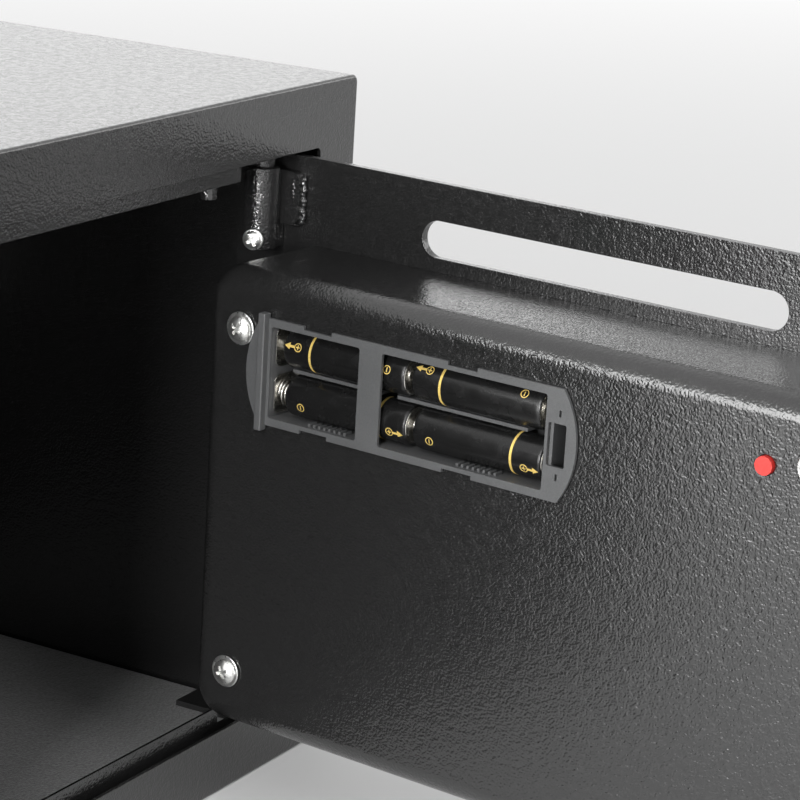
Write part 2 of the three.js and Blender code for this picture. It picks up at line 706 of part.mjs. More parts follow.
// Knuckle for the upper hinge, with z = 0 at the barrel's outer end
function hingeKnuckle(tabW) {
  const barrel = rodZ(BARREL_R, -BARREL_L, -NECK_L, 0, 0, ROUND);
  const neck = rodZ(NECK_R, -BARREL_L + TOUCH, 0, 0, 0, ROUND);
  const webBack = -HINGE_DEPTH + SEAT;
  const web = box(-WEB_W / 2, WEB_W / 2, webBack, 0, -BARREL_L + TOUCH, -TAB_DROP);
  const tabShape = roundedRect(-tabW, WEB_W / 2, -TAB_DROP - TAB_H, -TAB_DROP, WEB_W / 2 - TOUCH);
  const tab = plateY(tabShape, webBack, webBack + TAB_T);
  const bore = rodZ(PIN_R + RUN, -PIN_REACH - 2 * TOUCH, OVERCUT);
  const screwHole = rodY(
    SET_SCREW_R + TOUCH, BARREL_R - SET_SCREW_L, BARREL_R + OVERCUT, 0, -BARREL_L + SET_SCREW_UP);
  screwHole.rotateZ(SET_SCREW_TURN_DEG * DEG);
  return cut(join(barrel, neck, web, tab), bore, screwHole);
}

// Screw with a flanged pan head and a cross recess; its head stands at y = 0 and beyond
function crossScrew(shankR, shankL, flangeR, flangeT, domeR, domeH) {
  const profile = [
    [0, -shankL], [shankR, -shankL], [shankR, 0], [flangeR, 0], [flangeR, flangeT], [domeR, flangeT]];
  for (let step = 1; step < DOME_STEPS; step += 1) {
    const angle = step * 90 / DOME_STEPS * DEG;
    profile.push([domeR * Math.cos(angle), flangeT + domeH * Math.sin(angle)]);
  }
  const top = flangeT + domeH;
  profile.push([0, top]);
  return cut(turnedY(profile, SMALL_ROUND),
    box(-CROSS_L / 2, CROSS_L / 2, top - CROSS_DEEP, top + OVERCUT, -CROSS_W / 2, CROSS_W / 2),
    box(-CROSS_W / 2, CROSS_W / 2, top - CROSS_DEEP, top + OVERCUT, -CROSS_L / 2, CROSS_L / 2));
}

// Set screw that enters the barrel, with the origin on the hinge axis
function setScrew() {
  const screw = crossScrew(
    SET_SCREW_R, SET_SCREW_L - 2 * TOUCH, SET_HEAD_R, SET_HEAD_T / 2,
    SET_HEAD_R - SET_HEAD_EDGE, SET_HEAD_T / 2);
  return screw.translate(0, BARREL_R + TOUCH, 0).rotateZ(SET_SCREW_TURN_DEG * DEG);
}

const TRAY_TUB_HALF_L = CAVITY_L / 2 + TRAY_WALL;
const TRAY_TUB_HALF_H = ROW_PITCH / 2 + CELL_R + CELL_PLAY + TRAY_WALL;

function innerCover() {
  const height = COVER_Z1 - COVER_Z0;
  const middle = (COVER_Z0 + COVER_Z1) / 2;
  const outer = softBlock(COVER_W, height, COVER_CORNER_R, COVER_EDGE_R, SEAT, COVER_FACE);
  outer.translate(0, 0, middle);
  const hollow = softBlock(
    COVER_W - 2 * COVER_SHEET, height - 2 * COVER_SHEET,
    COVER_CORNER_R - COVER_SHEET, COVER_EDGE_R - COVER_SHEET, SEAT - OVERCUT, COVER_FACE - COVER_SHEET);
  hollow.translate(0, 0, middle);
  const through = [COVER_FACE - COVER_SHEET - OVERCUT, COVER_FACE + OVERCUT];
  const screwHoles = COVER_CORNERS.map(([x, z]) => rodY(COVER_SCREW_R + TOUCH, ...through, x, z));
  const trayHole = box(
    TRAY_X - TRAY_TUB_HALF_L - TOUCH, TRAY_X + TRAY_TUB_HALF_L + TOUCH, ...through,
    TRAY_Z - TRAY_TUB_HALF_H - TOUCH, TRAY_Z + TRAY_TUB_HALF_H + TOUCH);
  const catchHole = box(
    TRAY_X - CATCH_X - CATCH_W / 2, TRAY_X - CATCH_X + CATCH_W / 2, ...through,
    TRAY_Z - CATCH_H / 2, TRAY_Z + CATCH_H / 2);
  const resetHole = rodY(RESET_R + RUN, ...through, RESET_X, RESET_Z);
  const boltHoles = BOLT_Z.map((z) => rodX(
    BOLT_R + 2 * RUN, -COVER_W / 2 - OVERCUT, -COVER_W / 2 + COVER_SHEET + OVERCUT, BOLT_DEPTH, z, ROUND));
  return cut(outer, hollow, ...screwHoles, trayHole, catchHole, resetHole, ...boltHoles);
}

function coverScrew() {
  return crossScrew(
    COVER_SCREW_R, COVER_SCREW_L, COVER_SCREW_FLANGE_R, COVER_SCREW_FLANGE_T,
    COVER_SCREW_DOME_R, COVER_SCREW_DOME_H);
}

const KNUCKLE_TOP = DOOR_Z1 + DOOR_GAP - TOUCH;
const SET_SCREW_Z = KNUCKLE_TOP - BARREL_L + SET_SCREW_UP;
const doorShell = group([0, 0, 0],
  piece('door_plate', doorPlate(), powderCoat),
  piece('door_hinge_top', hingeKnuckle(TAB_W), powderCoat, [HINGE_X, HINGE_DEPTH, KNUCKLE_TOP]),
  piece('door_hinge_bottom', mirroredZ(hingeKnuckle(LOW_TAB_W)), powderCoat,
    [HINGE_X, HINGE_DEPTH, BODY_H - KNUCKLE_TOP]),
  piece('hinge_screw_top', setScrew(), zinc, [HINGE_X, HINGE_DEPTH, SET_SCREW_Z]),
  piece('hinge_screw_bottom', setScrew(), zinc, [HINGE_X, HINGE_DEPTH, BODY_H - SET_SCREW_Z]),
  piece('inner_cover', innerCover(), powderCoat),
  ...COVER_CORNERS.map(([x, z], index) => piece(
    `cover_screw_${index + 1}`, coverScrew(), zinc, [x, COVER_FACE + TOUCH, z])));

// Battery holder. In its group the origin is the middle of the rows at the cover's face.

function flangeOutline() {
  const shape = new THREE.Shape();
  const h = FLANGE_HALF_H;
  const r = (h * h + FLANGE_RISE * FLANGE_RISE) / (2 * FLANGE_RISE);
  const half = Math.asin(h / r);
  const notch = (x, side) => {
    shape.lineTo(x + side * NOTCH_W / 2, side * h);
    shape.lineTo(x + side * NOTCH_W / 2, side * (h - NOTCH_DEEP));
    shape.lineTo(x - side * NOTCH_W / 2, side * (h - NOTCH_DEEP));
    shape.lineTo(x - side * NOTCH_W / 2, side * h);
  };
  shape.absarc(FLANGE_CHORD_HINGE - r + FLANGE_RISE, 0, r, -half, half);
  for (const x of NOTCH_X) notch(x, 1);
  shape.absarc(-FLANGE_CHORD_FREE + r - FLANGE_RISE, 0, r, Math.PI - half, Math.PI + half);
  for (const x of [...NOTCH_X].reverse()) notch(x, -1);
  shape.closePath();
  return shape;
}

const ROW_Z = [ROW_PITCH / 2, -ROW_PITCH / 2];
const CONTACT_FACE = CAVITY_L / 2 - TOUCH - CONTACT_T;

function batteryTray() {
  const flange = plateY(flangeOutline(), TOUCH, TOUCH + FLANGE_T, FLANGE_STEPS);
  const tub = box(
    -TRAY_TUB_HALF_L, TRAY_TUB_HALF_L, -TRAY_BACK, 2 * TOUCH, -TRAY_TUB_HALF_H, TRAY_TUB_HALF_H);
  const ribTop = TOUCH + FLANGE_T + RIB_PROUD;
  const rib = box(RIB_X - RIB_T / 2, RIB_X + RIB_T / 2, 2 * TOUCH, ribTop, -RIB_H / 2, RIB_H / 2);
  const windowTop = ROW_PITCH / 2 + CELL_R + CELL_PLAY;
  const cavity = box(
    -CAVITY_L / 2, CAVITY_L / 2, TRAY_WALL - TRAY_BACK, -TOUCH, -windowTop, windowTop);
  const dividers = DIVIDER_X.map(([x0, x1]) => box(
    x0, x1, TRAY_WALL / 2 - TRAY_BACK, -DIVIDER_DOWN, -DIVIDER_T / 2, DIVIDER_T / 2));
  const window = (x0, x1) => box(x0, x1, -2 * TOUCH, OVERCUT + FLANGE_T, -windowTop, windowTop);
  const catchHole = box(
    -CATCH_X - CATCH_W / 2, -CATCH_X + CATCH_W / 2, -OVERCUT, FLANGE_T + OVERCUT,
    -CATCH_H / 2, CATCH_H / 2);
  const slitX = -CAVITY_L / 2 - SLIT_PAST;
  const slits = [SLIT_Z, -SLIT_Z].map((z) => box(
    slitX - SLIT_W / 2, slitX + SLIT_W / 2, 0, FLANGE_T + OVERCUT, z - SLIT_H / 2, z + SLIT_H / 2));
  const holder = cut(join(flange, tub, rib), cavity,
    window(BAR_X + BAR_W / 2, CAVITY_L / 2), window(WINDOW_SHORT - CAVITY_L / 2, BAR_X - BAR_W / 2),
    catchHole, ...slits);
  return join(holder, ...dividers);
}

// An AA cell along X, its nub end at +X and its middle at the origin
function cell() {
  const end = CELL_L / 2;
  const profile = [
    [0, -end], [CELL_R - CELL_EDGE, -end], [CELL_R, -end + CELL_EDGE], [CELL_R, end - CELL_EDGE],
    [CELL_R - CELL_EDGE, end], [NUB_R, end], [NUB_R, end + NUB_L], [0, end + NUB_L]];
  return turnedY(profile).rotateZ(-Math.PI / 2);
}

// A contact plate with its outer face at x = 0, and the spring that is wound from it
function contactPlate() {
  const shape = roundedRect(-CONTACT_HALF, CONTACT_HALF, -CONTACT_HALF, CONTACT_HALF, CONTACT_CORNER_R);
  return plateY(shape, -CONTACT_T, 0).rotateZ(Math.PI / 2);
}

function springContact(name) {
  const coil = coilX(name, SPRING_R, SPRING_TIP_R, SPRING_WIRE_R, SPRING_L, SPRING_TURNS);
  return join(contactPlate(), coil.translate(CONTACT_T - SPRING_WIRE_R, 0, 0));
}

// One plate joins the two rows at the free end: plain for the lower row, sprung for the upper
function bridgeContact() {
  const strap = box(0, CONTACT_T, -STRAP_W / 2, STRAP_W / 2, ROW_Z[1], ROW_Z[0]);
  const sprung = springContact('bridge spring').translate(0, 0, ROW_Z[0]);
  return join(sprung, contactPlate().translate(0, 0, ROW_Z[1]), strap);
}

// Cells of a row start from the plain contact, nub first, and the spring takes up what is left
function cells() {
  const spacing = CELL_L + NUB_L + TOUCH;
  const first = CONTACT_FACE - TOUCH - NUB_L - CELL_L / 2;
  return [1, -1].flatMap((nubSide, row) => [0, 1].map((place) => {
    const mesh = piece(`battery_cell_${2 * row + place + 1}`, cell(), cellBlack,
      [nubSide * (first - place * spacing), -CELL_AXIS_IN, ROW_Z[row]]);
    mesh.rotation.y = nubSide > 0 ? 0 : Math.PI;
    return mesh;
  }));
}

const batteryHolder = group([TRAY_X, COVER_FACE, TRAY_Z],
  piece('battery_tray', batteryTray(), blackPlastic),
  ...cells(),
  piece('contact_plus', contactPlate(), nickel, [CONTACT_FACE, -CELL_AXIS_IN, ROW_Z[0]]),
  piece('contact_minus', springContact('battery spring').rotateZ(Math.PI), nickel,
    [CONTACT_FACE + CONTACT_T, -CELL_AXIS_IN, ROW_Z[1]]),
  piece('contact_bridge', bridgeContact(), nickel, [-CONTACT_FACE - CONTACT_T, -CELL_AXIS_IN, 0]));

// The lid's outline is the flange's, its rim fits inside the windows and its catch enters the catch hole
function batteryLid() {
  const rimHalfW = CAVITY_L / 2 - TOUCH;
  const rimHalfH = ROW_PITCH / 2 + CELL_R + CELL_PLAY - TOUCH;
  const inW = rimHalfW - LID_RIM;
  const inH = rimHalfH - LID_RIM;
  const rimTop = LID_T + LID_RIM_H;
  const rim = cut(
    box(-rimHalfW, rimHalfW, -rimHalfH, rimHalfH, LID_T - TOUCH, rimTop),
    box(-inW, inW, -inH, inH, LID_T - OVERCUT, rimTop + OVERCUT));
  const hookHalfH = CATCH_H / 2 - LID_CATCH_PLAY;
  const hook = box(
    -CATCH_X - LID_CATCH_W / 2, -CATCH_X + LID_CATCH_W / 2, -hookHalfH, hookHalfH, LID_T - TOUCH, rimTop);
  return join(plateZ(flangeOutline(), 0, LID_T, FLANGE_STEPS), rim, hook);
}

const lid = piece('battery_lid', batteryLid(), blackPlastic, [LID_X, LID_Y, WALL + MAT_T + TOUCH]);
lid.rotation.z = LID_TURN_DEG * DEG;

// Keypad. In its group the origin is the middle of the keypad on the door's outer face.

const PAD_FRONT = -TOUCH - PAD_T;

function keyPlace(index) {
  const column = index % KEY_COLS;
  const row = Math.floor(index / KEY_COLS);
  return [(column - (KEY_COLS - 1) / 2) * KEY_PITCH_X, KEY_TOP_Z - row * KEY_PITCH_Z];
}

function keypadHousing() {
  const block = softBlock(PAD_W, PAD_H, PAD_R, PAD_EDGE_R, -TOUCH, PAD_FRONT);
  const pockets = [];
  const pocketEnd = PAD_FRONT + KEY_DEEP + KEY_TRAVEL + TOUCH;
  for (let index = 0; index < KEY_COLS * KEY_ROWS; index += 1) {
    const [x, z] = keyPlace(index);
    const w = KEY_W / 2 + RUN;
    const h = KEY_H / 2 + RUN;
    const pocket = roundedRect(x - w, x + w, z - h, z + h, KEY_R);
    pockets.push(plateY(pocket, PAD_FRONT - OVERCUT, pocketEnd, 1));
  }
  for (const place of [-1, 0, 1]) {
    pockets.push(rodY(LED_R + TOUCH, PAD_FRONT - OVERCUT, PAD_FRONT + LED_DEEP, place * LED_PITCH, LED_UP));
  }
  const guideHalf = LED_R + TOUCH;
  pockets.push(box(-LED_PITCH - guideHalf, LED_PITCH + guideHalf, PAD_FRONT + LED_DEEP - TOUCH, OVERCUT,
    LED_UP - guideHalf, LED_UP + guideHalf));
  return cut(block, ...pockets);
}

function keyCap() {
  return softBlock(KEY_W, KEY_H, KEY_R, KEY_EDGE_R, KEY_DEEP, -KEY_PROUD, SMALL_STEPS, SMALL_STEPS);
}

// Three lenses on one light guide that lies behind the housing's front
function indicatorLens() {
  const guideEnd = PAD_FRONT + LED_DEEP + LED_GUIDE_T;
  const guide = box(
    -LED_PITCH - LED_R, LED_PITCH + LED_R, PAD_FRONT + LED_DEEP, guideEnd, LED_UP - LED_R, LED_UP + LED_R);
  return join(guide, ...[-1, 0, 1].map((place) => rodY(
    LED_R, PAD_FRONT - LED_PROUD, guideEnd - TOUCH, place * LED_PITCH, LED_UP)));
}

const KEY_NAMES = ['1', '2', '3', '4', '5', '6', '7', '8', '9', 'clear', '0', 'enter'];
const keypad = group([PAD_X, 0, PAD_Z],
  piece('keypad_housing', keypadHousing(), blackPlastic),
  piece('indicator_lens', indicatorLens(), lens),
  ...KEY_NAMES.map((name, index) => {
    const [x, z] = keyPlace(index);
    return piece(`key_${name}`, keyCap(), keyPlastic, [x, PAD_FRONT, z]);
  }));

// Circuit board. In its group the origin is the middle of the board's nearer face.

function circuitBoard() {
  const board = box(-BOARD_W / 2, BOARD_W / 2, 0, BOARD_T, -BOARD_H / 2, BOARD_H / 2);
  const onBoard = (w, h, l, x, z) => box(
    x - w / 2, x + w / 2, BOARD_T / 2, BOARD_T + h, z - l / 2, z + l / 2);
  const holes = boardCorners().map(([x, z]) => rodY(
    BOARD_STUD_TIP_R + TOUCH, -OVERCUT, BOARD_T + OVERCUT, x, z));
  return cut(join(board,
    onBoard(...CHIP, 0, 0),
    onBoard(...SOCKET, ...SOCKET_AT),
    rodY(CAPACITOR_R, BOARD_T / 2, BOARD_T + CAPACITOR_H, ...CAPACITOR_AT)), ...holes);
}

const board = group([BOARD_X, DOOR_T + BOARD_OFF, BOARD_Z],
  piece('circuit_board', circuitBoard(), boardGreen));

// Knob, shaft and cam. In their group the origin is on the knob's axis, at the door's outer face.

const CAM_DEPTH = CARRIAGE_NEAR - CAM_CLEAR - CAM_T;
const KNOB_BACK = -BUSH_FLANGE_T - 2 * TOUCH;

function knobBody() {
  const edge = KNOB_BACK - KNOB_SKIRT_T;
  const top = edge - KNOB_DOME_T;
  const base = turnedY([
    [0, top], [KNOB_TOP_R, top], [KNOB_SKIRT_R - KNOB_EDGE, edge], [KNOB_SKIRT_R, edge + KNOB_EDGE],
    [KNOB_SKIRT_R, KNOB_BACK], [0, KNOB_BACK]]);
  const grip = softBlock(GRIP_L, GRIP_W, GRIP_R, GRIP_EDGE_R, edge, edge - GRIP_T);
  grip.rotateY(-CRANK_DEG * 2 * DEG);
  const bore = rodY(SHAFT_R + TOUCH, KNOB_BACK - SHAFT_IN_KNOB - TOUCH, KNOB_BACK + OVERCUT);
  return cut(join(base, grip), bore);
}

// The shaft with its pressed-on cam and crank pin
function camShaft() {
  const crank = [CRANK_R * Math.sin(CRANK_DEG * DEG), CRANK_R * Math.cos(CRANK_DEG * DEG)];
  return join(
    rodY(SHAFT_R, KNOB_BACK - SHAFT_IN_KNOB, CAM_DEPTH + CAM_T / 2),
    rodY(CAM_R, CAM_DEPTH, CAM_DEPTH + CAM_T, 0, 0, ROUND),
    rodY(CAM_PIN_R, CAM_DEPTH + CAM_T / 2, CARRIAGE_FAR + CAM_PIN_PAST, ...crank));
}

function shaftBush() {
  return cut(
    join(rodY(BUSH_R, -TOUCH - BUSH_FLANGE_T / 2, DOOR_T + BUSH_PAST, 0, 0, ROUND),
      rodY(BUSH_FLANGE_R, -TOUCH - BUSH_FLANGE_T, -TOUCH, 0, 0, ROUND),
      rodY(BUSH_FLANGE_R, SEAT, SEAT + BUSH_FLANGE_T, 0, 0, ROUND)),
    rodY(SHAFT_R + RUN, -BUSH_FLANGE_T - OVERCUT, DOOR_T + BUSH_PAST + OVERCUT));
}

const knobDrive = group([KNOB_X, 0, KNOB_Z],
  piece('knob', knobBody(), blackPlastic),
  piece('cam_shaft', camShaft(), steel),
  piece('shaft_bush', shaftBush(), brass));

// Bolt work, at rest with the bolts drawn in

const BOLT_TIP_X = -DOOR_W / 2 + BOLT_TIP_IN;
const BOLT_REAR_X = CARRIAGE_X - TOUCH;
const BOLT_L = BOLT_REAR_X - BOLT_TIP_X;
const POST_Z = KNOB_Z - CARRIAGE_POST_DOWN;

function bolt() {
  const head = CARRIAGE_T + 2 * TOUCH;
  const end = head + STUB_HEAD_T;
  const profile = [
    [0, -BOLT_L], [BOLT_R - BOLT_CHAMFER, -BOLT_L], [BOLT_R, -BOLT_L + BOLT_CHAMFER], [BOLT_R, 0],
    [STUB_R, 0], [STUB_R, head], [STUB_HEAD_R, head], [STUB_HEAD_R, end], [0, end]];
  return turnedY(profile, ROUND).rotateZ(-Math.PI / 2);
}

function boltCarriage() {
  const armTop = Math.max(...BOLT_Z) + ARM_PAST_BOLT;
  const armFoot = Math.min(...BOLT_Z) - ARM_PAST_BOLT;
  const arm = box(CARRIAGE_X, CARRIAGE_X + ARM_W, CARRIAGE_NEAR, CARRIAGE_FAR, armFoot, armTop);
  const bar = box(CARRIAGE_X, KNOB_X + CARRIAGE_END, CARRIAGE_NEAR, CARRIAGE_FAR, BAR_FOOT, BAR_TOP);
  const through = [CARRIAGE_NEAR - OVERCUT, CARRIAGE_FAR + OVERCUT];
  const guideHalf = CARRIAGE_POST_R + RUN;
  const guideSlot = plateY(roundedRect(
    CARRIAGE_POST_X - guideHalf, CARRIAGE_POST_X + THROW + guideHalf,
    POST_Z - guideHalf, POST_Z + guideHalf, guideHalf - SLOT_END), ...through);
  const pinX = KNOB_X + CRANK_R * Math.sin(CRANK_DEG * DEG);
  const pinHalf = CAM_PIN_R + PIN_SLOT_PLAY;
  const pinFoot = KNOB_Z + CRANK_R * Math.cos(CRANK_DEG * DEG) - pinHalf;
  const pinSlot = plateY(roundedRect(
    pinX - pinHalf, pinX + pinHalf, pinFoot, KNOB_Z + CRANK_R + pinHalf, pinHalf - SLOT_END), ...through);
  const tabs = BOLT_Z.map((z) => box(
    CARRIAGE_X, CARRIAGE_X + CARRIAGE_T, BOLT_DEPTH - TAB_HALF, CARRIAGE_NEAR + TOUCH,
    z - TAB_HALF, z + TAB_HALF));
  const stubHoles = BOLT_Z.map((z) => rodX(
    STUB_R + TOUCH, CARRIAGE_X - OVERCUT, CARRIAGE_X + CARRIAGE_T + OVERCUT, BOLT_DEPTH, z));
  const plungerHalf = PLUNGER_R + RUN;
  const notchX = SOL_X + THROW;
  const notch = box(
    notchX - plungerHalf, notchX + plungerHalf, ...through, BAR_TOP - BLOCK_NOTCH_DEEP, BAR_TOP + OVERCUT);
  return cut(join(arm, bar, ...tabs), guideSlot, pinSlot, ...stubHoles, notch);
}

function boltGuide() {
  const z0 = Math.min(...BOLT_Z) - GUIDE_PAST_BOLT - BOLT_R;
  const z1 = Math.max(...BOLT_Z) + GUIDE_PAST_BOLT;
  const wall = box(GUIDE_X - GUIDE_T, GUIDE_X, SEAT, BOLT_DEPTH + BOLT_R + GUIDE_T, z0, z1);
  const foot = box(GUIDE_X - GUIDE_T, GUIDE_X + GUIDE_FOOT, SEAT, SEAT + GUIDE_T, z0, z1);
  return cut(join(wall, foot), ...BOLT_Z.map((z) => rodX(
    BOLT_R + RUN, GUIDE_X - GUIDE_T - OVERCUT, GUIDE_X + OVERCUT, BOLT_DEPTH, z, ROUND)));
}

// The shouldered post that holds the carriage's inner end down; the bolts in their guide hold the other end
function carriagePost() {
  const head = CARRIAGE_FAR + TOUCH;
  return join(
    rodY(CARRIAGE_POST_SHOULDER_R, SEAT, CARRIAGE_NEAR - TOUCH, CARRIAGE_POST_X, POST_Z),
    rodY(CARRIAGE_POST_R, CARRIAGE_NEAR - 2 * TOUCH, head + TOUCH, CARRIAGE_POST_X, POST_Z),
    rodY(CARRIAGE_POST_SHOULDER_R, head, head + CARRIAGE_POST_HEAD_T, CARRIAGE_POST_X, POST_Z));
}

const boltWork = group([0, 0, 0],
  piece('bolt_carriage', boltCarriage(), zinc),
  piece('bolt_lower', bolt(), steel, [BOLT_REAR_X, BOLT_DEPTH, BOLT_Z[0]]),
  piece('bolt_upper', bolt(), steel, [BOLT_REAR_X, BOLT_DEPTH, BOLT_Z[1]]),
  piece('bolt_guide', boltGuide(), zinc),
  piece('carriage_post', carriagePost(), steel));

// Solenoid. In its group the origin is on the plunger's axis, at the height of the carriage's top edge.

const PLUNGER_DEPTH = CARRIAGE_NEAR + CARRIAGE_T / 2;

function solenoidFrame() {
  const half = SOL_W / 2;
  const foot = SEAT - PLUNGER_DEPTH;
  const web = box(-half, half, foot, foot + SOL_SHEET, SOL_UP, SOL_UP + SOL_H);
  const arm = (z) => cut(box(-half, half, foot, SOL_PAST, z, z + SOL_SHEET),
    rodZ(PLUNGER_R + RUN, z - OVERCUT, z + SOL_SHEET + OVERCUT));
  return join(web, arm(SOL_UP), arm(SOL_UP + SOL_H - SOL_SHEET));
}

function solenoidCoil() {
  const z0 = SOL_UP + SOL_SHEET + TOUCH;
  const z1 = SOL_UP + SOL_H - SOL_SHEET - TOUCH;
  return cut(rodZ(COIL_R, z0, z1, 0, 0, ROUND), rodZ(PLUNGER_R + RUN, z0 - OVERCUT, z1 + OVERCUT));
}

function plunger() {
  return join(rodZ(PLUNGER_R, TOUCH, TOUCH + PLUNGER_L), rodZ(COLLAR_R, COLLAR_UP, COLLAR_UP + COLLAR_T));
}

function plungerSpring() {
  const z0 = COLLAR_UP + COLLAR_T + TOUCH;
  const coil = coilX('plunger spring', PLUNGER_SPRING_R, PLUNGER_SPRING_R, PLUNGER_SPRING_WIRE_R,
    SOL_UP - TOUCH - z0, PLUNGER_SPRING_TURNS);
  return coil.rotateY(-Math.PI / 2).translate(0, 0, z0);
}

const solenoid = group([SOL_X, PLUNGER_DEPTH, BAR_TOP],
  piece('solenoid_frame', solenoidFrame(), zinc),
  piece('solenoid_coil', solenoidCoil(), copper),
  piece('solenoid_plunger', plunger(), steel),
  piece('plunger_spring', plungerSpring(), steel));

// Reset button, pressed from the lock cover's face

const RESET_BACK = COVER_FACE + RESET_PROUD - RESET_BUTTON_L;

function resetSwitch() {
  const end = COVER_FACE - COVER_SHEET - TOUCH;
  return cut(
    box(-RESET_BOX / 2, RESET_BOX / 2, end - RESET_BOX_DEEP, end, -RESET_BOX / 2, RESET_BOX / 2),
    rodY(RESET_R + RUN, RESET_BACK - RESET_TRAVEL - TOUCH, end + OVERCUT));
}

const reset = group([RESET_X, 0, RESET_Z],
  piece('reset_switch', resetSwitch(), blackPlastic),
  piece('reset_button', rodY(RESET_R, RESET_BACK, COVER_FACE + RESET_PROUD), redPlastic));

// Override lock. In its group the origin is on the lock's axis, at the door's outer face.

const LOCK_FRONT = -TOUCH - LOCK_HEAD_T - LOCK_NOSE;
const LOCK_REAR = CARRIAGE_NEAR - LOCK_CAM_CLEAR - LOCK_CAM_T - TOUCH - PLUG_PAST;

function lockBody() {
  return cut(
    join(rodY(LOCK_R, LOCK_FRONT, LOCK_REAR, 0, 0, ROUND),
      rodY(LOCK_HEAD_R, -TOUCH - LOCK_HEAD_T, -TOUCH, 0, 0, ROUND)),
    rodY(PLUG_R + RUN, LOCK_FRONT - OVERCUT, LOCK_REAR + OVERCUT, 0, 0, ROUND));
}

function lockPlug() {
  const front = LOCK_FRONT + TOUCH;
  return cut(
    join(rodY(PLUG_R, front, LOCK_REAR + PLUG_PAST, 0, 0, ROUND),
      rodY(PLUG_TAIL_R, LOCK_REAR, LOCK_REAR + PLUG_PAST + PLUG_TAIL_L)),
    box(-KEYWAY_W / 2, KEYWAY_W / 2, front - OVERCUT, front + KEYWAY_DEEP, -KEYWAY_H / 2, KEYWAY_H / 2));
}

function lockCam() {
  const y0 = LOCK_REAR + PLUG_PAST + TOUCH;
  const half = LOCK_CAM_W / 2;
  const lever = plateY(roundedRect(-half, half, -LOCK_CAM_L, PLUG_R, half - TOUCH), y0, y0 + LOCK_CAM_T);
  const drilled = cut(lever, rodY(PLUG_TAIL_R + TOUCH, y0 - OVERCUT, y0 + LOCK_CAM_T + OVERCUT));
  return drilled.rotateY(-LOCK_CAM_REST_DEG * DEG);
}

function overrideCap() {
  const rim = -TOUCH - LOCK_HEAD_T - TOUCH;
  const top = LOCK_FRONT - CAP_OVER;
  const end = top - CAP_WALL;
  const outer = turnedY([
    [0, end], [LOCK_HEAD_R - CAP_EDGE, end], [LOCK_HEAD_R, end + CAP_EDGE], [LOCK_HEAD_R, rim], [0, rim]]);
  return cut(outer, rodY(LOCK_R + RUN, top, rim + OVERCUT, 0, 0, ROUND));
}

const overrideLock = group([LOCK_X, 0, LOCK_Z],
  piece('lock_body', lockBody(), nickel),
  piece('lock_nut', hexNut(LOCK_R + LOCK_NUT_WALL, LOCK_R + TOUCH, SEAT, SEAT + LOCK_NUT_T), brass),
  piece('lock_plug', lockPlug(), nickel),
  piece('lock_cam', lockCam(), zinc),
  piece('override_cap', overrideCap(), blackPlastic));

// The whole safe

const door = group([-HINGE_X, -HINGE_DEPTH, 0],
  doorShell, batteryHolder, keypad, board, knobDrive, boltWork, solenoid, reset, overrideLock);
const doorSwing = group([HINGE_X, HINGE_Y, 0], door);
doorSwing.rotation.z = DOOR_OPEN_DEG * DEG;

const safe = group([0, 0, 0], body, lid, doorSwing);

export default safe;
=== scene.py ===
"""A keypad safe with its door open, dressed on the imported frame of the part.

Sizes are in millimetres. The body's pieces use the body's own axes. The door's pieces are modelled
as on the closed door, with X across it, Y the depth behind its outer face and Z the height, and are
swung open with it when they are put in place.
"""

from __future__ import annotations

import json
import logging
import math
from collections.abc import Callable, Iterator, Sequence
from contextlib import contextmanager
from dataclasses import dataclass, field
from enum import Enum

import bmesh
import bpy
from mathutils import Matrix, Vector

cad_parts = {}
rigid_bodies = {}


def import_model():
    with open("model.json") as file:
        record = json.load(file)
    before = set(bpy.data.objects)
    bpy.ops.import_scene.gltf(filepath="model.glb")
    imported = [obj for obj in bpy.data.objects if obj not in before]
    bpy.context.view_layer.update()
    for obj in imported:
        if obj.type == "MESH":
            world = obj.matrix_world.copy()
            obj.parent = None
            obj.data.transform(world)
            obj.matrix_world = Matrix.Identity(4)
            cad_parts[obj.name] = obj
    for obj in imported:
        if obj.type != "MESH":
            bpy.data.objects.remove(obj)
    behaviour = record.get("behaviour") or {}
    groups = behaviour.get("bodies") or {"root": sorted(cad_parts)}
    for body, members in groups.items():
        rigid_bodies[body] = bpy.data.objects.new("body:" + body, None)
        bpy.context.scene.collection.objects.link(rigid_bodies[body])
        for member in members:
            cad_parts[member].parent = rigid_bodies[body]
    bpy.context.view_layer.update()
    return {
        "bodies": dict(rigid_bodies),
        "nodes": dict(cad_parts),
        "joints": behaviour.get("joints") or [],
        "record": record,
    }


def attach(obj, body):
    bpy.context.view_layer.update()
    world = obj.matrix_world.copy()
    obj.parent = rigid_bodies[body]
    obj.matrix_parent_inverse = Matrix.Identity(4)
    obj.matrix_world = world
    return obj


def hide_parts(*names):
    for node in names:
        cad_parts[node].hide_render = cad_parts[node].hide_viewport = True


LOG = logging.getLogger("keypad_safe")

MM = 0.001
TINY = 1e-4
HINGE_X = 133.4
HINGE_DEPTH = 11.7
DOOR_FACE_Y = -124.5
DOOR_ANGLE = 83.8
CROSS_LENGTH = 4.6
CROSS_WIDTH = 1.1

Point = tuple[float, float, float]
Colour = tuple[float, float, float]
Test = Callable[[Vector, Vector], bool]

BODY_PLACE = Matrix.Scale(MM, 4)
DOOR_PLACE = (
    BODY_PLACE
    @ Matrix.Translation((HINGE_X, DOOR_FACE_Y + HINGE_DEPTH, 0))
    @ Matrix.Rotation(math.radians(DOOR_ANGLE), 4, "Z")
    @ Matrix.Translation((-HINGE_X, -HINGE_DEPTH, 0))
)


class Axis(Enum):
    """The axis that a shape is turned about or softened along."""

    X = 0
    Y = 1
    Z = 2


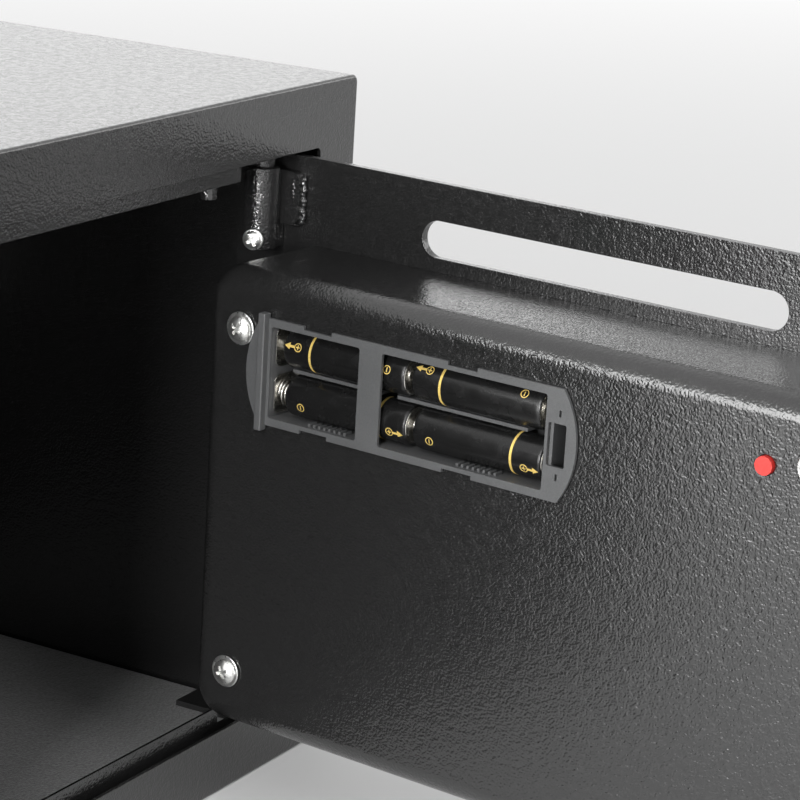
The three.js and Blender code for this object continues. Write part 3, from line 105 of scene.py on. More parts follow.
class Pick(Enum):
    """What an edit-mode selection is made of."""

    CORNERS = "VERT"
    EDGES = "EDGE"
    FACES = "FACE"


# Modelling tools


def select_only(*objects: bpy.types.Object) -> None:
    """Leaves edit mode and selects these objects alone.

    Args:
        objects: What to select; the first becomes the active object.
    """
    if bpy.context.mode != "OBJECT":
        bpy.ops.object.mode_set(mode="OBJECT")
    bpy.ops.object.select_all(action="DESELECT")
    for obj in objects:
        obj.select_set(True)
    if objects:
        bpy.context.view_layer.objects.active = objects[0]


@contextmanager
def editing(obj: bpy.types.Object, kind: Pick = Pick.FACES) -> Iterator[None]:
    """Opens an object in edit mode with nothing selected, and closes it afterwards.

    Args:
        obj: The mesh object.
        kind: What its selections are made of.
    """
    select_only(obj)
    bpy.ops.object.mode_set(mode="EDIT")
    bpy.ops.mesh.select_mode(type=kind.value)
    bpy.ops.mesh.select_all(action="DESELECT")
    yield
    bpy.ops.object.mode_set(mode="OBJECT")


def pick_faces(test: Test) -> None:
    """Selects the edited mesh's faces by place and normal.

    Args:
        test: Says whether a face is taken, from its middle and its normal.
    """
    mesh = bpy.context.edit_object.data
    shape = bmesh.from_edit_mesh(mesh)
    for face in shape.faces:
        face.select_set(test(face.calc_center_median(), face.normal))
    bmesh.update_edit_mesh(mesh)


def pick_edges(test: Test) -> None:
    """Selects the edited mesh's edges by place and direction.

    Args:
        test: Says whether an edge is taken, from its middle and its direction.
    """
    mesh = bpy.context.edit_object.data
    shape = bmesh.from_edit_mesh(mesh)
    for edge in shape.edges:
        first, second = (corner.co for corner in edge.verts)
        edge.select_set(test((first + second) / 2, (second - first).normalized()))
    bmesh.update_edit_mesh(mesh)


def pick_corners(test: Callable[[Vector], bool]) -> None:
    """Selects the edited mesh's corners by place.

    Args:
        test: Says whether a corner is taken, from its place.
    """
    mesh = bpy.context.edit_object.data
    shape = bmesh.from_edit_mesh(mesh)
    for corner in shape.verts:
        corner.select_set(test(corner.co))
    shape.select_flush(True)
    bmesh.update_edit_mesh(mesh)


def named(name: str) -> bpy.types.Object:
    """Names the object that was just added, and returns it."""
    obj = bpy.context.active_object
    obj.name = obj.data.name = name
    return obj


def block(name: str, low: Point, high: Point) -> bpy.types.Object:
    """Adds a box between two corners.

    Args:
        name: The object's name.
        low: Its lowest corner.
        high: Its highest corner.

    Returns:
        The box.
    """
    select_only()
    middle = [(a + b) / 2 for a, b in zip(low, high)]
    bpy.ops.mesh.primitive_cube_add(size=1, location=middle)
    obj = named(name)
    obj.scale = [b - a for a, b in zip(low, high)]
    bpy.ops.object.transform_apply()
    return obj


def soft_block(
    name: str, low: Point, high: Point, radius: float, axis: Axis, steps: int = 6
) -> bpy.types.Object:
    """Adds a box whose four edges along one axis are round.

    Args:
        name: The object's name.
        low: Its lowest corner.
        high: Its highest corner.
        radius: The round edges' radius.
        axis: The axis that they run along.
        steps: Facets in each round.

    Returns:
        The box.
    """
    obj = block(name, low, high)
    with editing(obj, Pick.EDGES):
        pick_edges(lambda _, along: abs(along[axis.value]) > 0.9)
        bpy.ops.mesh.bevel(offset=radius, segments=steps, affect="EDGES")
    return obj


def rod(name: str, radius: float, start: Point, end: Point, sides: int = 32) -> bpy.types.Object:
    """Adds a round rod between two points.

    Args:
        name: The object's name.
        radius: Its radius.
        start: The middle of one end.
        end: The middle of the other end.
        sides: Facets round it.

    Returns:
        The rod.
    """
    select_only()
    span = Vector(end) - Vector(start)
    bpy.ops.mesh.primitive_cylinder_add(
        vertices=sides,
        radius=radius,
        depth=span.length,
        location=(Vector(start) + Vector(end)) / 2,
        rotation=span.to_track_quat("Z", "Y").to_euler(),
    )
    obj = named(name)
    bpy.ops.object.transform_apply()
    return obj


def turned(
    name: str,
    rings: Sequence[tuple[float, float]],
    foot: Point,
    along: Point,
    sides: int = 48,
    bored: bool = False,
) -> bpy.types.Object:
    """Adds a turned shape by drawing a circle out along its axis, ring after ring.

    Args:
        name: The object's name.
        rings: The radius and height of each ring; the last radius may be 0, for a pole.
        foot: Where height 0 lies on the axis.
        along: The axis's direction.
        sides: Facets round it.
        bored: Whether the last ring meets the first, which leaves a bore, or both ends are closed.

    Returns:
        The shape.
    """
    select_only()
    radius, height = rings[0]
    bpy.ops.mesh.primitive_circle_add(vertices=sides, radius=radius, location=(0, 0, height))
    obj = named(name)
    bpy.ops.object.transform_apply()
    with editing(obj, Pick.EDGES):
        bpy.ops.mesh.select_all(action="SELECT")
        for next_radius, next_height in [*rings[1:], *(rings[:1] if bored else [])]:
            bpy.ops.mesh.extrude_region_move(
                TRANSFORM_OT_translate={"value": (0, 0, next_height - height)}
            )
            ratio = next_radius / radius
            if ratio == 0:
                bpy.ops.mesh.merge(type="CENTER")
            elif ratio != 1:
                bpy.ops.transform.resize(
                    value=(ratio, ratio, 1), center_override=(0, 0, next_height)
                )
            radius, height = next_radius, next_height
        if not bored:
            if radius > 0:
                bpy.ops.mesh.edge_face_add()
            first_radius, first_height = rings[0]
            bpy.ops.mesh.select_all(action="DESELECT")
            pick_corners(
                lambda place: abs(place.z - first_height) < TINY
                and abs(math.hypot(place.x, place.y) - first_radius) < 10 * TINY
            )
            bpy.ops.mesh.edge_face_add()
        bpy.ops.mesh.select_all(action="SELECT")
        bpy.ops.mesh.remove_doubles(threshold=TINY)
        bpy.ops.mesh.normals_make_consistent(inside=False)
    turn = Vector(along).to_track_quat("Z", "Y").to_matrix().to_4x4()
    return moved(obj, Matrix.Translation(foot) @ turn)


def moved(obj: bpy.types.Object, place: Matrix) -> bpy.types.Object:
    """Moves an object's mesh, leaves the object at the origin and returns it."""
    select_only(obj)
    obj.matrix_world = place @ obj.matrix_world
    bpy.ops.object.transform_apply()
    return obj


def modify(obj: bpy.types.Object, kind: str, **settings: object) -> None:
    """Adds a modifier with these settings and applies it.

    Args:
        obj: The mesh object.
        kind: The modifier's type.
        settings: Its settings.
    """
    select_only(obj)
    modifier = obj.modifiers.new(kind.title(), kind)
    for key, value in settings.items():
        setattr(modifier, key, value)
    bpy.ops.object.modifier_apply(modifier=modifier.name)


def cut(obj: bpy.types.Object, *cutters: bpy.types.Object) -> None:
    """Takes each cutter's shape away from an object and deletes the cutters."""
    for cutter in cutters:
        modify(obj, "BOOLEAN", operation="DIFFERENCE", solver="EXACT", object=cutter)
        bpy.data.objects.remove(cutter)


def weld(obj: bpy.types.Object, *others: bpy.types.Object) -> None:
    """Makes an object and others that overlap it one closed shape."""
    for other in others:
        modify(obj, "BOOLEAN", operation="UNION", solver="EXACT", object=other)
        bpy.data.objects.remove(other)


def gather(name: str, *objects: bpy.types.Object) -> bpy.types.Object:
    """Joins separate shapes in one object under a new name."""
    select_only(*objects)
    bpy.ops.object.join()
    return named(name)


def soften(obj: bpy.types.Object, width: float, steps: int = 2, angle: float = 40) -> None:
    """Rounds the edges that are sharper than an angle.

    Args:
        obj: The mesh object.
        width: How far the rounding reaches from the edge.
        steps: Facets in each rounding.
        angle: The least angle between two faces, in degrees.
    """
    modify(
        obj,
        "BEVEL",
        width=width,
        segments=steps,
        limit_method="ANGLE",
        angle_limit=math.radians(angle),
        use_clamp_overlap=True,
    )


def shade(obj: bpy.types.Object, angle: float = 35) -> None:
    """Shades an object smooth up to an angle, with its broad faces kept flat."""
    select_only(obj)
    bpy.ops.object.shade_smooth_by_angle(angle=math.radians(angle))
    modify(obj, "WEIGHTED_NORMAL", keep_sharp=True, weight=80)


def copied(obj: bpy.types.Object, name: str, place: Matrix) -> bpy.types.Object:
    """Copies an object with its own mesh to another place.

    Args:
        obj: The object to copy.
        name: The copy's name.
        place: What moves the copy from where the object is.

    Returns:
        The copy.
    """
    select_only(obj)
    bpy.ops.object.duplicate(linked=False)
    copy = moved(named(name), place)
    if place.determinant() < 0:
        with editing(copy):
            bpy.ops.mesh.select_all(action="SELECT")
            bpy.ops.mesh.normals_make_consistent(inside=False)
    return copy


def settle(
    obj: bpy.types.Object, place: Matrix, body: str, nodes: Sequence[str] = ()
) -> bpy.types.Object:
    """Puts a finished piece in its place, on the body that carries it.

    Args:
        obj: The piece, in millimetres.
        place: From the piece's millimetres to the safe's metres.
        body: The body that it moves with.
        nodes: The CAD nodes that it stands for.

    Returns:
        The piece.
    """
    moved(obj, place)
    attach(obj, body)
    if nodes:
        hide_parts(*nodes)
    LOG.info("%s: %d faces, on %s", obj.name, len(obj.data.polygons), body)
    return obj


# Finishes


class Graph:
    """A material's node tree, with one short call for each kind of node."""

    def __init__(self, name: str) -> None:
        """Starts an empty material.

        Args:
            name: The material's name.
        """
        self.material = bpy.data.materials.new(name)
        self.material.use_nodes = True
        self.tree = self.material.node_tree
        self.tree.nodes.clear()

    def add(self, kind: str, inputs: dict[str | int, object], **settings: object) -> bpy.types.Node:
        """Adds a node.

        Args:
            kind: The node's type.
            inputs: A value or another node's socket for each input.
            settings: The node's own settings.

        Returns:
            The node.
        """
        node = self.tree.nodes.new(kind)
        for key, value in settings.items():
            setattr(node, key, value)
        for key, value in inputs.items():
            if isinstance(value, bpy.types.NodeSocket):
                self.tree.links.new(value, node.inputs[key])
            else:
                node.inputs[key].default_value = value
        return node

    def place(self) -> bpy.types.NodeSocket:
        """Returns the point on the piece, in metres."""
        return self.add("ShaderNodeTexCoord", {}).outputs["Object"]

    def noise(
        self, across: float, detail: float = 2.0, stretch: Point = (1, 1, 1), rough: float = 0.5
    ) -> bpy.types.NodeSocket:
        """Adds a noise over the piece.

        Args:
            across: The size of its spots, in millimetres.
            detail: How many finer layers it has.
            stretch: How many times smaller the spots are along each axis.
            rough: How strong the finer layers are.

        Returns:
            The noise, from 0 to 1.
        """
        mapping = self.add("ShaderNodeMapping", {"Vector": self.place(), "Scale": stretch})
        node = self.add(
            "ShaderNodeTexNoise",
            {
                "Vector": mapping.outputs[0],
                "Scale": 1 / (across * MM),
                "Detail": detail,
                "Roughness": rough,
            },
        )
        return node.outputs["Fac"]

    def between(
        self,
        value: bpy.types.NodeSocket,
        from_range: tuple[float, float],
        to_range: tuple[float, float],
    ) -> bpy.types.NodeSocket:
        """Maps a value from one range to another, held to the new range.

        Args:
            value: The value.
            from_range: Where it lies.
            to_range: Where it should lie.

        Returns:
            The mapped value.
        """
        node = self.add(
            "ShaderNodeMapRange",
            {
                "Value": value,
                "From Min": from_range[0],
                "From Max": from_range[1],
                "To Min": to_range[0],
                "To Max": to_range[1],
            },
        )
        return node.outputs[0]

    def blend(
        self, share: bpy.types.NodeSocket, first: Colour, second: Colour
    ) -> bpy.types.NodeSocket:
        """Blends two colours.

        Args:
            share: How much of the second.
            first: The first colour.
            second: The second colour.

        Returns:
            The blend.
        """
        node = self.add(
            "ShaderNodeMix",
            {"Factor": share, "A": (*first, 1), "B": (*second, 1)},
            data_type="RGBA",
        )
        return node.outputs["Result"]

    def bump(
        self,
        height: bpy.types.NodeSocket,
        depth: float,
        under: bpy.types.NodeSocket | None = None,
    ) -> bpy.types.NodeSocket:
        """Turns a height into a bumpy normal.

        Args:
            height: The height, from 0 to 1.
            depth: How deep 1 is, in millimetres.
            under: A normal that the bumps lie on.

        Returns:
            The normal.
        """
        inputs = {"Height": height, "Distance": depth * MM, "Strength": 1.0}
        if under is not None:
            inputs["Normal"] = under
        return self.add("ShaderNodeBump", inputs).outputs[0]

    def close(self, **sockets: object) -> bpy.types.Material:
        """Ends the material with its surface shader.

        Args:
            sockets: The shader's inputs, with underscores for spaces.

        Returns:
            The material.
        """
        inputs = {key.replace("_", " "): value for key, value in sockets.items()}
        shader = self.add("ShaderNodeBsdfPrincipled", inputs)
        self.add("ShaderNodeOutputMaterial", {"Surface": shader.outputs[0]})
        return self.material


def grey(value: float) -> tuple[float, float, float, float]:
    """Returns an even grey as a colour with alpha."""
    return (value, value, value, 1)


@dataclass(frozen=True)
class PowderCoat:
    """Black powder coat with an orange-peel skin."""

    name: str = "powder_coat"
    shade: float = 0.010
    roughness: float = 0.19
    ior: float = 1.75
    peel: float = 0.85
    depth: float = 0.17

    def material(self) -> bpy.types.Material:
        """Makes the material."""
        graph = Graph(self.name)
        peel = graph.noise(self.peel, detail=1.0, rough=0.4)
        swell = graph.noise(self.peel * 3.2, detail=1.0)
        base = graph.bump(swell, self.depth * 0.8)
        normal = graph.bump(peel, self.depth, base)
        dust = graph.noise(self.peel * 0.6, detail=3.0)
        colour = graph.blend(
            graph.between(dust, (0.45, 0.75), (0, 1)), (self.shade,) * 3, (self.shade * 2.4,) * 3
        )
        rough = graph.between(swell, (0.3, 0.7), (self.roughness - 0.04, self.roughness + 0.05))
        return graph.close(Base_Color=colour, Roughness=rough, IOR=self.ior, Normal=normal)


@dataclass(frozen=True)
class Felt:
    """Short grey felt on the safe's floor."""

    name: str = "felt"
    dark: float = 0.012
    light: float = 0.11

    def material(self) -> bpy.types.Material:
        """Makes the material."""
        graph = Graph(self.name)
        hair = graph.noise(1.1, detail=4.0, rough=0.65)
        clumps = graph.noise(5.0, detail=3.0)
        share = graph.between(hair, (0.35, 0.65), (0, 1))
        colour = graph.blend(share, (self.dark,) * 3, (self.light,) * 3)
        normal = graph.bump(hair, 0.5, graph.bump(clumps, 0.4))
        return graph.close(
            Base_Color=colour, Roughness=0.95, Normal=normal, Sheen_Weight=0.4, Sheen_Roughness=0.6
        )


@dataclass(frozen=True)
class Plastic:
    """Moulded plastic with a fine grain."""

    name: str
    colour: Colour
    roughness: float = 0.5
    grain: float = 0.35
    depth: float = 0.02

    def material(self) -> bpy.types.Material:
        """Makes the material."""
        graph = Graph(self.name)
        grain = graph.noise(self.grain, detail=3.0, rough=0.6)
        cloud = graph.noise(self.grain * 22, detail=3.0)
        normal = graph.bump(grain, self.depth)
        pale = tuple(1.35 * part for part in self.colour)
        colour = graph.blend(graph.between(grain, (0.3, 0.75), (0, 1)), self.colour, pale)
        rough = graph.between(cloud, (0.3, 0.7), (self.roughness - 0.06, self.roughness + 0.08))
        return graph.close(Base_Color=colour, Roughness=rough, Normal=normal)


@dataclass(frozen=True)
class Metal:
    """Bare or plated metal with a mottled face."""

    name: str
    colour: Colour
    roughness: float = 0.25
    mottle: float = 1.5
    depth: float = 0.02

    def material(self) -> bpy.types.Material:
        """Makes the material."""
        graph = Graph(self.name)
        spots = graph.noise(self.mottle, detail=3.0)
        fine = graph.noise(self.mottle * 0.2, detail=2.0)
        dull = tuple(0.72 * part for part in self.colour)
        colour = graph.blend(graph.between(spots, (0.35, 0.65), (0, 1)), self.colour, dull)
        rough = graph.between(spots, (0.3, 0.7), (self.roughness * 0.7, self.roughness * 1.4))
        normal = graph.bump(fine, self.depth * 0.4, graph.bump(spots, self.depth))
        return graph.close(Base_Color=colour, Metallic=1.0, Roughness=rough, Normal=normal)


@dataclass(frozen=True)
class Label:
    """The cells' black film sleeve."""

    name: str = "cell_label"
    shade: float = 0.006

    def material(self) -> bpy.types.Material:
        """Makes the material."""
        graph = Graph(self.name)
        ripple = graph.noise(6.0, detail=2.0)
        dust = graph.noise(0.5, detail=3.0)
        colour = graph.blend(
            graph.between(dust, (0.55, 0.8), (0, 1)), (self.shade,) * 3, (self.shade * 4,) * 3
        )
        rough = graph.between(ripple, (0.3, 0.7), (0.2, 0.3))
        return graph.close(Base_Color=colour, Roughness=rough, Normal=graph.bump(ripple, 0.03))


@dataclass(frozen=True)
class Ink:
    """Printed marks."""

    name: str
    colour: Colour
    roughness: float = 0.4
    metallic: float = 0.0

    def material(self) -> bpy.types.Material:
        """Makes the material."""
        graph = Graph(self.name)
        wear = graph.noise(0.3, detail=3.0)
        worn = tuple(0.7 * part for part in self.colour)
        colour = graph.blend(graph.between(wear, (0.45, 0.7), (0, 1)), self.colour, worn)
        return graph.close(
            Base_Color=colour,
            Roughness=self.roughness,
            Metallic=self.metallic,
            Normal=graph.bump(wear, 0.01),
        )


POWDER = PowderCoat()
THICK_POWDER = PowderCoat("thick_powder_coat", roughness=0.14, peel=0.7, depth=0.26)
FELT = Felt()
BLACK_PLASTIC = Plastic("black_plastic", (0.030, 0.031, 0.032), 0.46)
TRAY_PLASTIC = Plastic("holder_plastic", (0.060, 0.061, 0.062), 0.42, grain=0.5, depth=0.06)
KEY_PLASTIC = Plastic("key_plastic", (0.075, 0.078, 0.085), 0.42, grain=0.25, depth=0.01)
RED_PLASTIC = Plastic("red_plastic", (0.42, 0.02, 0.015), 0.4, depth=0.008)
BOARD_GREEN = Plastic("circuit_green", (0.012, 0.09, 0.035), 0.35, grain=0.6, depth=0.01)
LENS_RED = Plastic("indicator", (0.35, 0.03, 0.02), 0.15, depth=0.004)
ZINC = Metal("zinc", (0.88, 0.88, 0.86), 0.34, mottle=1.3, depth=0.16)
STEEL = Metal("steel", (0.56, 0.57, 0.58), 0.32)
NICKEL = Metal("nickel", (0.82, 0.80, 0.75), 0.2)
COPPER = Metal("copper", (0.72, 0.30, 0.14), 0.35, mottle=0.5, depth=0.05)
BRASS = Metal("brass", (0.72, 0.54, 0.22), 0.28)
CELL_LABEL = Label()
GOLD_INK = Ink("gold_ink", (0.83, 0.60, 0.17), 0.35, 0.35)

Finish = PowderCoat | Felt | Plastic | Metal | Label | Ink


class Paints:
    """The finishes in use, each made once."""

    def __init__(self) -> None:
        """Starts with no finish made."""
        self.made: dict[str, bpy.types.Material] = {}

    def paint(self, obj: bpy.types.Object, finish: Finish) -> None:
        """Gives an object one finish all over.

        Args:
            obj: The piece or CAD node.
            finish: Its finish.
        """
        if finish.name not in self.made:
            self.made[finish.name] = finish.material()
        obj.data.materials.clear()
        obj.data.materials.append(self.made[finish.name])


PAINTS = Paints()


# Sub-assemblies


@dataclass
class Assembly:
    """A sub-assembly: pieces of its own, and CAD nodes whose shape stays."""

    frame: dict
    pieces: list[tuple[bpy.types.Object, Finish]] = field(default_factory=list, init=False)

    def keep(
        self,
        obj: bpy.types.Object,
        finish: Finish,
        place: Matrix,
        body: str,
        slot: str,
        nodes: Sequence[str] = (),
    ) -> None:
        """Puts a finished piece in place and notes its finish.

        Args:
            obj: The piece, in millimetres.
            finish: Its finish.
            place: From the piece's millimetres to the safe's metres.
            body: The body that it moves with.
            slot: The record's material slot. It is not used.
            nodes: The CAD nodes that it stands for.
        """
        settle(obj, place, body, nodes)
        self.pieces.append((obj, finish))

    def carry_over(self, finish: Finish, *nodes: str) -> None:
        """Notes CAD nodes whose shape stays, and their finish."""
        for node in nodes:
            self.pieces.append((self.frame["nodes"][node], finish))
            LOG.info("%s: shape of the frame", node)

    def dress(self) -> None:
        """Gives each piece its finish."""
        for obj, finish in self.pieces:
            PAINTS.paint(obj, finish)


@dataclass
class Shell(Assembly):
    """The welded body with its face frame, stop strips, back panel and floor mat."""

    width: float = 350
    depth: float = 250
    height: float = 250
    wall: float = 1.5
    corner_r: float = 3
    front_edge_r: float = 1.2
    rail: float = 23.4
    opening_r: float = 2
    anchor_r: float = 5
    anchor_x: float = 90
    floor_anchor_y: float = 10
    edge: float = 0.35

    def build(self) -> None:
        """Builds the body's pieces."""
        self.build_body()
        self.carry_over(POWDER, "back_panel", "stop_frame")
        self.carry_over(FELT, "floor_mat")
        self.carry_over(STEEL, "hinge_pin_top", "hinge_pin_bottom")

    def build_body(self) -> None:
        """Builds the wrap and the face frame as one folded and welded shell."""
        half, front, back = self.width / 2, -self.depth / 2, self.depth / 2 - self.wall
        shell = soft_block(
            "body_shell", (-half, front, 0), (half, back, self.height), self.corner_r, Axis.Y
        )
        with editing(shell):
            pick_faces(lambda _, normal: normal.y < -0.9)
            bpy.ops.mesh.region_to_loop()
            bpy.ops.mesh.bevel(offset=self.front_edge_r, segments=4, affect="EDGES")
        inner = half - self.wall
        hollow = soft_block(
            "hollow",
            (-inner, front + self.wall, self.wall),
            (inner, back + 1, self.height - self.wall),
            self.corner_r - self.wall,
            Axis.Y,
        )
        side = half - self.rail
        opening = soft_block(
            "opening",
            (-side, front - 1, self.rail),
            (side, front + self.wall + 1, self.height - self.rail),
            self.opening_r,
            Axis.Y,
        )
        anchors = [
            rod(
                "anchor",
                self.anchor_r,
                (sign * self.anchor_x, self.floor_anchor_y, -1),
                (sign * self.anchor_x, self.floor_anchor_y, self.wall + 1),
            )
            for sign in (-1, 1)
        ]
        cut(shell, hollow, opening, *anchors)
        soften(shell, self.edge, 2)
        shade(shell)
        nodes = ("body_wrap", "face_frame")
        self.keep(shell, POWDER, BODY_PLACE, "safe_body", "powder_coat", nodes)


@dataclass
class DoorPlate(Assembly):
    """The door's plate with its drop slot and its welded posts."""

    width: float = 300.2
    foot: float = 24.9
    top: float = 225.1
    thickness: float = 3
    corner_r: float = 2
    slot_length: float = 140.2
    slot_height: float = 12.8
    slot_drop: float = 19.3
    bush_hole: tuple[float, float, float] = (50, 115, 7)
    lock_hole: tuple[float, float, float] = (-2, 150, 9.3)
    wire_hole: tuple[float, float, float] = (-66, 112, 6)
    post_r: float = 5
    post_end: float = 48.8
    post_at: tuple[float, float, float] = (108.5, 51.8, 174.4)
    bore_r: float = 2.6
    bore_start: float = 35.1
    edge: float = 0.45

    def build(self) -> None:
        """Builds the plate."""
        half = self.width / 2
        plate = soft_block(
            "door_panel",
            (-half, 0, self.foot),
            (half, self.thickness, self.top),
            self.corner_r,
            Axis.Y,
        )
        slot_z = self.top - self.slot_drop
        reach = self.slot_height / 2
        slot = soft_block(
            "slot",
            (-self.slot_length / 2, -1, slot_z - reach),
            (self.slot_length / 2, self.thickness + 1, slot_z + reach),
            reach - 0.01,
            Axis.Y,
            steps=16,
        )
        holes = [
            rod("hole", radius, (x, -1, z), (x, self.thickness + 1, z))
            for x, z, radius in (self.bush_hole, self.lock_hole, self.wire_hole)
        ]
        cut(plate, slot, *holes)
        soften(plate, self.edge, 3)
        x, low, high = self.post_at
        posts = []
        for place in ((x, low), (x, high), (-x, low), (-x, high)):
            posts.append(self.post(*place))
        plate = gather("door_panel", plate, *posts)
        shade(plate)
        self.keep(plate, POWDER, DOOR_PLACE, "door", "powder_coat", ("door_plate",))

    def post(self, x: float, z: float) -> bpy.types.Object:
        """Builds one welded post with its threaded bore.

        Args:
            x: Its place across the door.
            z: Its height.

        Returns:
            The post.
        """
        foot = self.thickness + 0.01
        return turned(
            "post",
            [
                (self.post_r + 1, foot),
                (self.post_r, foot + 1),
                (self.post_r, self.post_end - 0.4),
                (self.post_r - 0.4, self.post_end),
                (self.bore_r, self.post_end),
                (self.bore_r, self.bore_start),
                (0, self.bore_start - 1),
            ],
            (x, 0, z),
            (0, 1, 0),
            sides=24,
        )


@dataclass
class Hinges(Assembly):
    """The two knuckles welded to the door, each with its set screw."""

    barrel_r: float = 6
    barrel_length: float = 34.4
    neck_r: float = 4.4
    neck_length: float = 5
    bore_r: float = 3.3
    bore_depth: float = 25.6
    top: float = 226.3
    middle: float = 125
    tab_width: float = 12.3
    low_tab_width: float = 8.2
    tab_height: float = 18.8
    tab_drop: float = 6.7
    tab_thickness: float = 3
    web_width: float = 8
    seat: float = 3.3
    head_r: float = 3.7
    shank_r: float = 1.5
    shank_length: float = 3.9
    screw_z: float = 196.1
    screw_turn: float = 20
    cross_turn: float = 30
    bead_r: float = 1.35
    bead_pitch: float = 1.25

    def build(self) -> None:
        """Builds the upper knuckle and its screw, and the lower ones as mirror copies."""
        knuckle = self.knuckle("knuckle_upper", self.tab_width)
        flip = Matrix.Translation((0, 0, 2 * self.middle)) @ Matrix.Scale(-1, 4, (0, 0, 1))
        narrow = self.knuckle("knuckle", self.low_tab_width)
        lower = copied(narrow, "knuckle_lower", flip)
        bpy.data.objects.remove(narrow)
        self.keep(knuckle, THICK_POWDER, DOOR_PLACE, "door", "powder_coat", ("door_hinge_top",))
        self.keep(lower, THICK_POWDER, DOOR_PLACE, "door", "powder_coat", ("door_hinge_bottom",))
        screw = self.set_screw()
        low_screw = copied(screw, "set_screw_lower", flip)
        self.keep(screw, ZINC, DOOR_PLACE, "door", "zinc", ("hinge_screw_top",))
        self.keep(low_screw, ZINC, DOOR_PLACE, "door", "zinc", ("hinge_screw_bottom",))

    def set_screw(self) -> bpy.types.Object:
        """Builds the upper knuckle's set screw, turned a little towards the free side.

        Returns:
            The screw.
        """
        r = self.head_r
        rings = [(self.shank_r, -self.shank_length), (self.shank_r, 0)]
        rings += [(r - 0.2, 0), (r, 0.2), (r, 0.8), (r - 0.2, 1.0)]
        rings += [(r - 0.5, 1.05), (r - 0.9, 1.6), (r - 1.7, 1.9), (0, 2.0)]
        screw = turned("set_screw_upper", rings, (0, 0, 0), (0, 1, 0))
        cut(screw, *cross_cutters(2.0, 1.1))
        soften(screw, 0.12, 2, 50)
        shade(screw, 40)
        return moved(
            screw,
            Matrix.Translation((HINGE_X, HINGE_DEPTH, self.screw_z))
            @ Matrix.Rotation(math.radians(self.screw_turn), 4, "Z")
            @ Matrix.Translation((0, self.barrel_r + 0.3, 0))
            @ Matrix.Rotation(math.radians(self.cross_turn), 4, "Y"),
        )

    def knuckle(self, name: str, tab_width: float) -> bpy.types.Object:
        """Builds a knuckle as it is at the upper hinge.

        Args:
            name: The object's name.
            tab_width: How far its tab reaches from the axis.

        Returns:
            The knuckle.
        """
        foot = self.top - self.barrel_length
        neck = self.top - self.neck_length
        barrel = turned(
            name,
            [
                (self.barrel_r - 0.6, foot),
                (self.barrel_r, foot + 0.6),
                (self.barrel_r, neck - 0.6),
                (self.barrel_r - 0.6, neck),
                (self.neck_r, neck),
                (self.neck_r, self.top - 0.3),
                (self.neck_r - 0.3, self.top),
                (self.bore_r, self.top),
                (self.bore_r, self.top - self.bore_depth),
                (0, self.top - self.bore_depth - 1),
            ],
            (HINGE_X, HINGE_DEPTH, 0),
            (0, 0, 1),
        )
        top = self.top - self.tab_drop
        web = block(
            "web",
            (HINGE_X - self.web_width / 2, self.seat, foot + 0.3),
            (HINGE_X + self.web_width / 2, HINGE_DEPTH - 3.4, top),
        )
        tab = soft_block(
            "tab",
            (HINGE_X - tab_width, self.seat, top - self.tab_height),
            (HINGE_X + self.web_width / 2, self.seat + self.tab_thickness, top),
            3.5,
            Axis.Y,
        )
        weld(barrel, web, tab)
        soften(barrel, 0.4, 2)
        beads = self.beads(HINGE_X - tab_width)
        shade(barrel)
        return gather(name, barrel, beads)

    def beads(self, x: float) -> bpy.types.Object:
        """Builds the bead of weld round the tab's free side, and the lumps beside it.

        Args:
            x: The tab's free edge.

        Returns:
            The bead.
        """
        top = self.top - self.tab_drop
        spots = []
        for step in range(13):
            sway = 0.3 * math.sin(step * 1.7)
            z = top - 2.6 - step * self.bead_pitch
            spots.append((x - 0.2 + sway, self.seat + 0.9, z, self.bead_r))
        for step in range(6):
            sway = 0.35 * math.sin(step * 2.6)
            spots.append((x + 2.7 + sway, self.seat + 2.7, top - 3.2 - step * 1.15, 0.95))
        for step in range(5):
            spots.append((x + 1.6 + 1.3 * step, self.seat + 0.8, top - self.tab_height, 0.9))
        lumps = []
        for index, (*spot, radius) in enumerate(spots):
            select_only()
            bpy.ops.mesh.primitive_uv_sphere_add(
                segments=16, ring_count=10, radius=radius, location=spot
            )
            lump = named(f"bead_{index}")
            lump.scale = (1.0, 0.75 + 0.15 * math.sin(index * 2.3), 0.85)
            bpy.ops.object.transform_apply()
            lumps.append(lump)
        bead = gather("bead", *lumps)
        modify(bead, "REMESH", mode="VOXEL", voxel_size=0.25)
        modify(bead, "SMOOTH", factor=0.5, iterations=2)
        select_only(bead)
        bpy.ops.object.shade_smooth()
        return bead


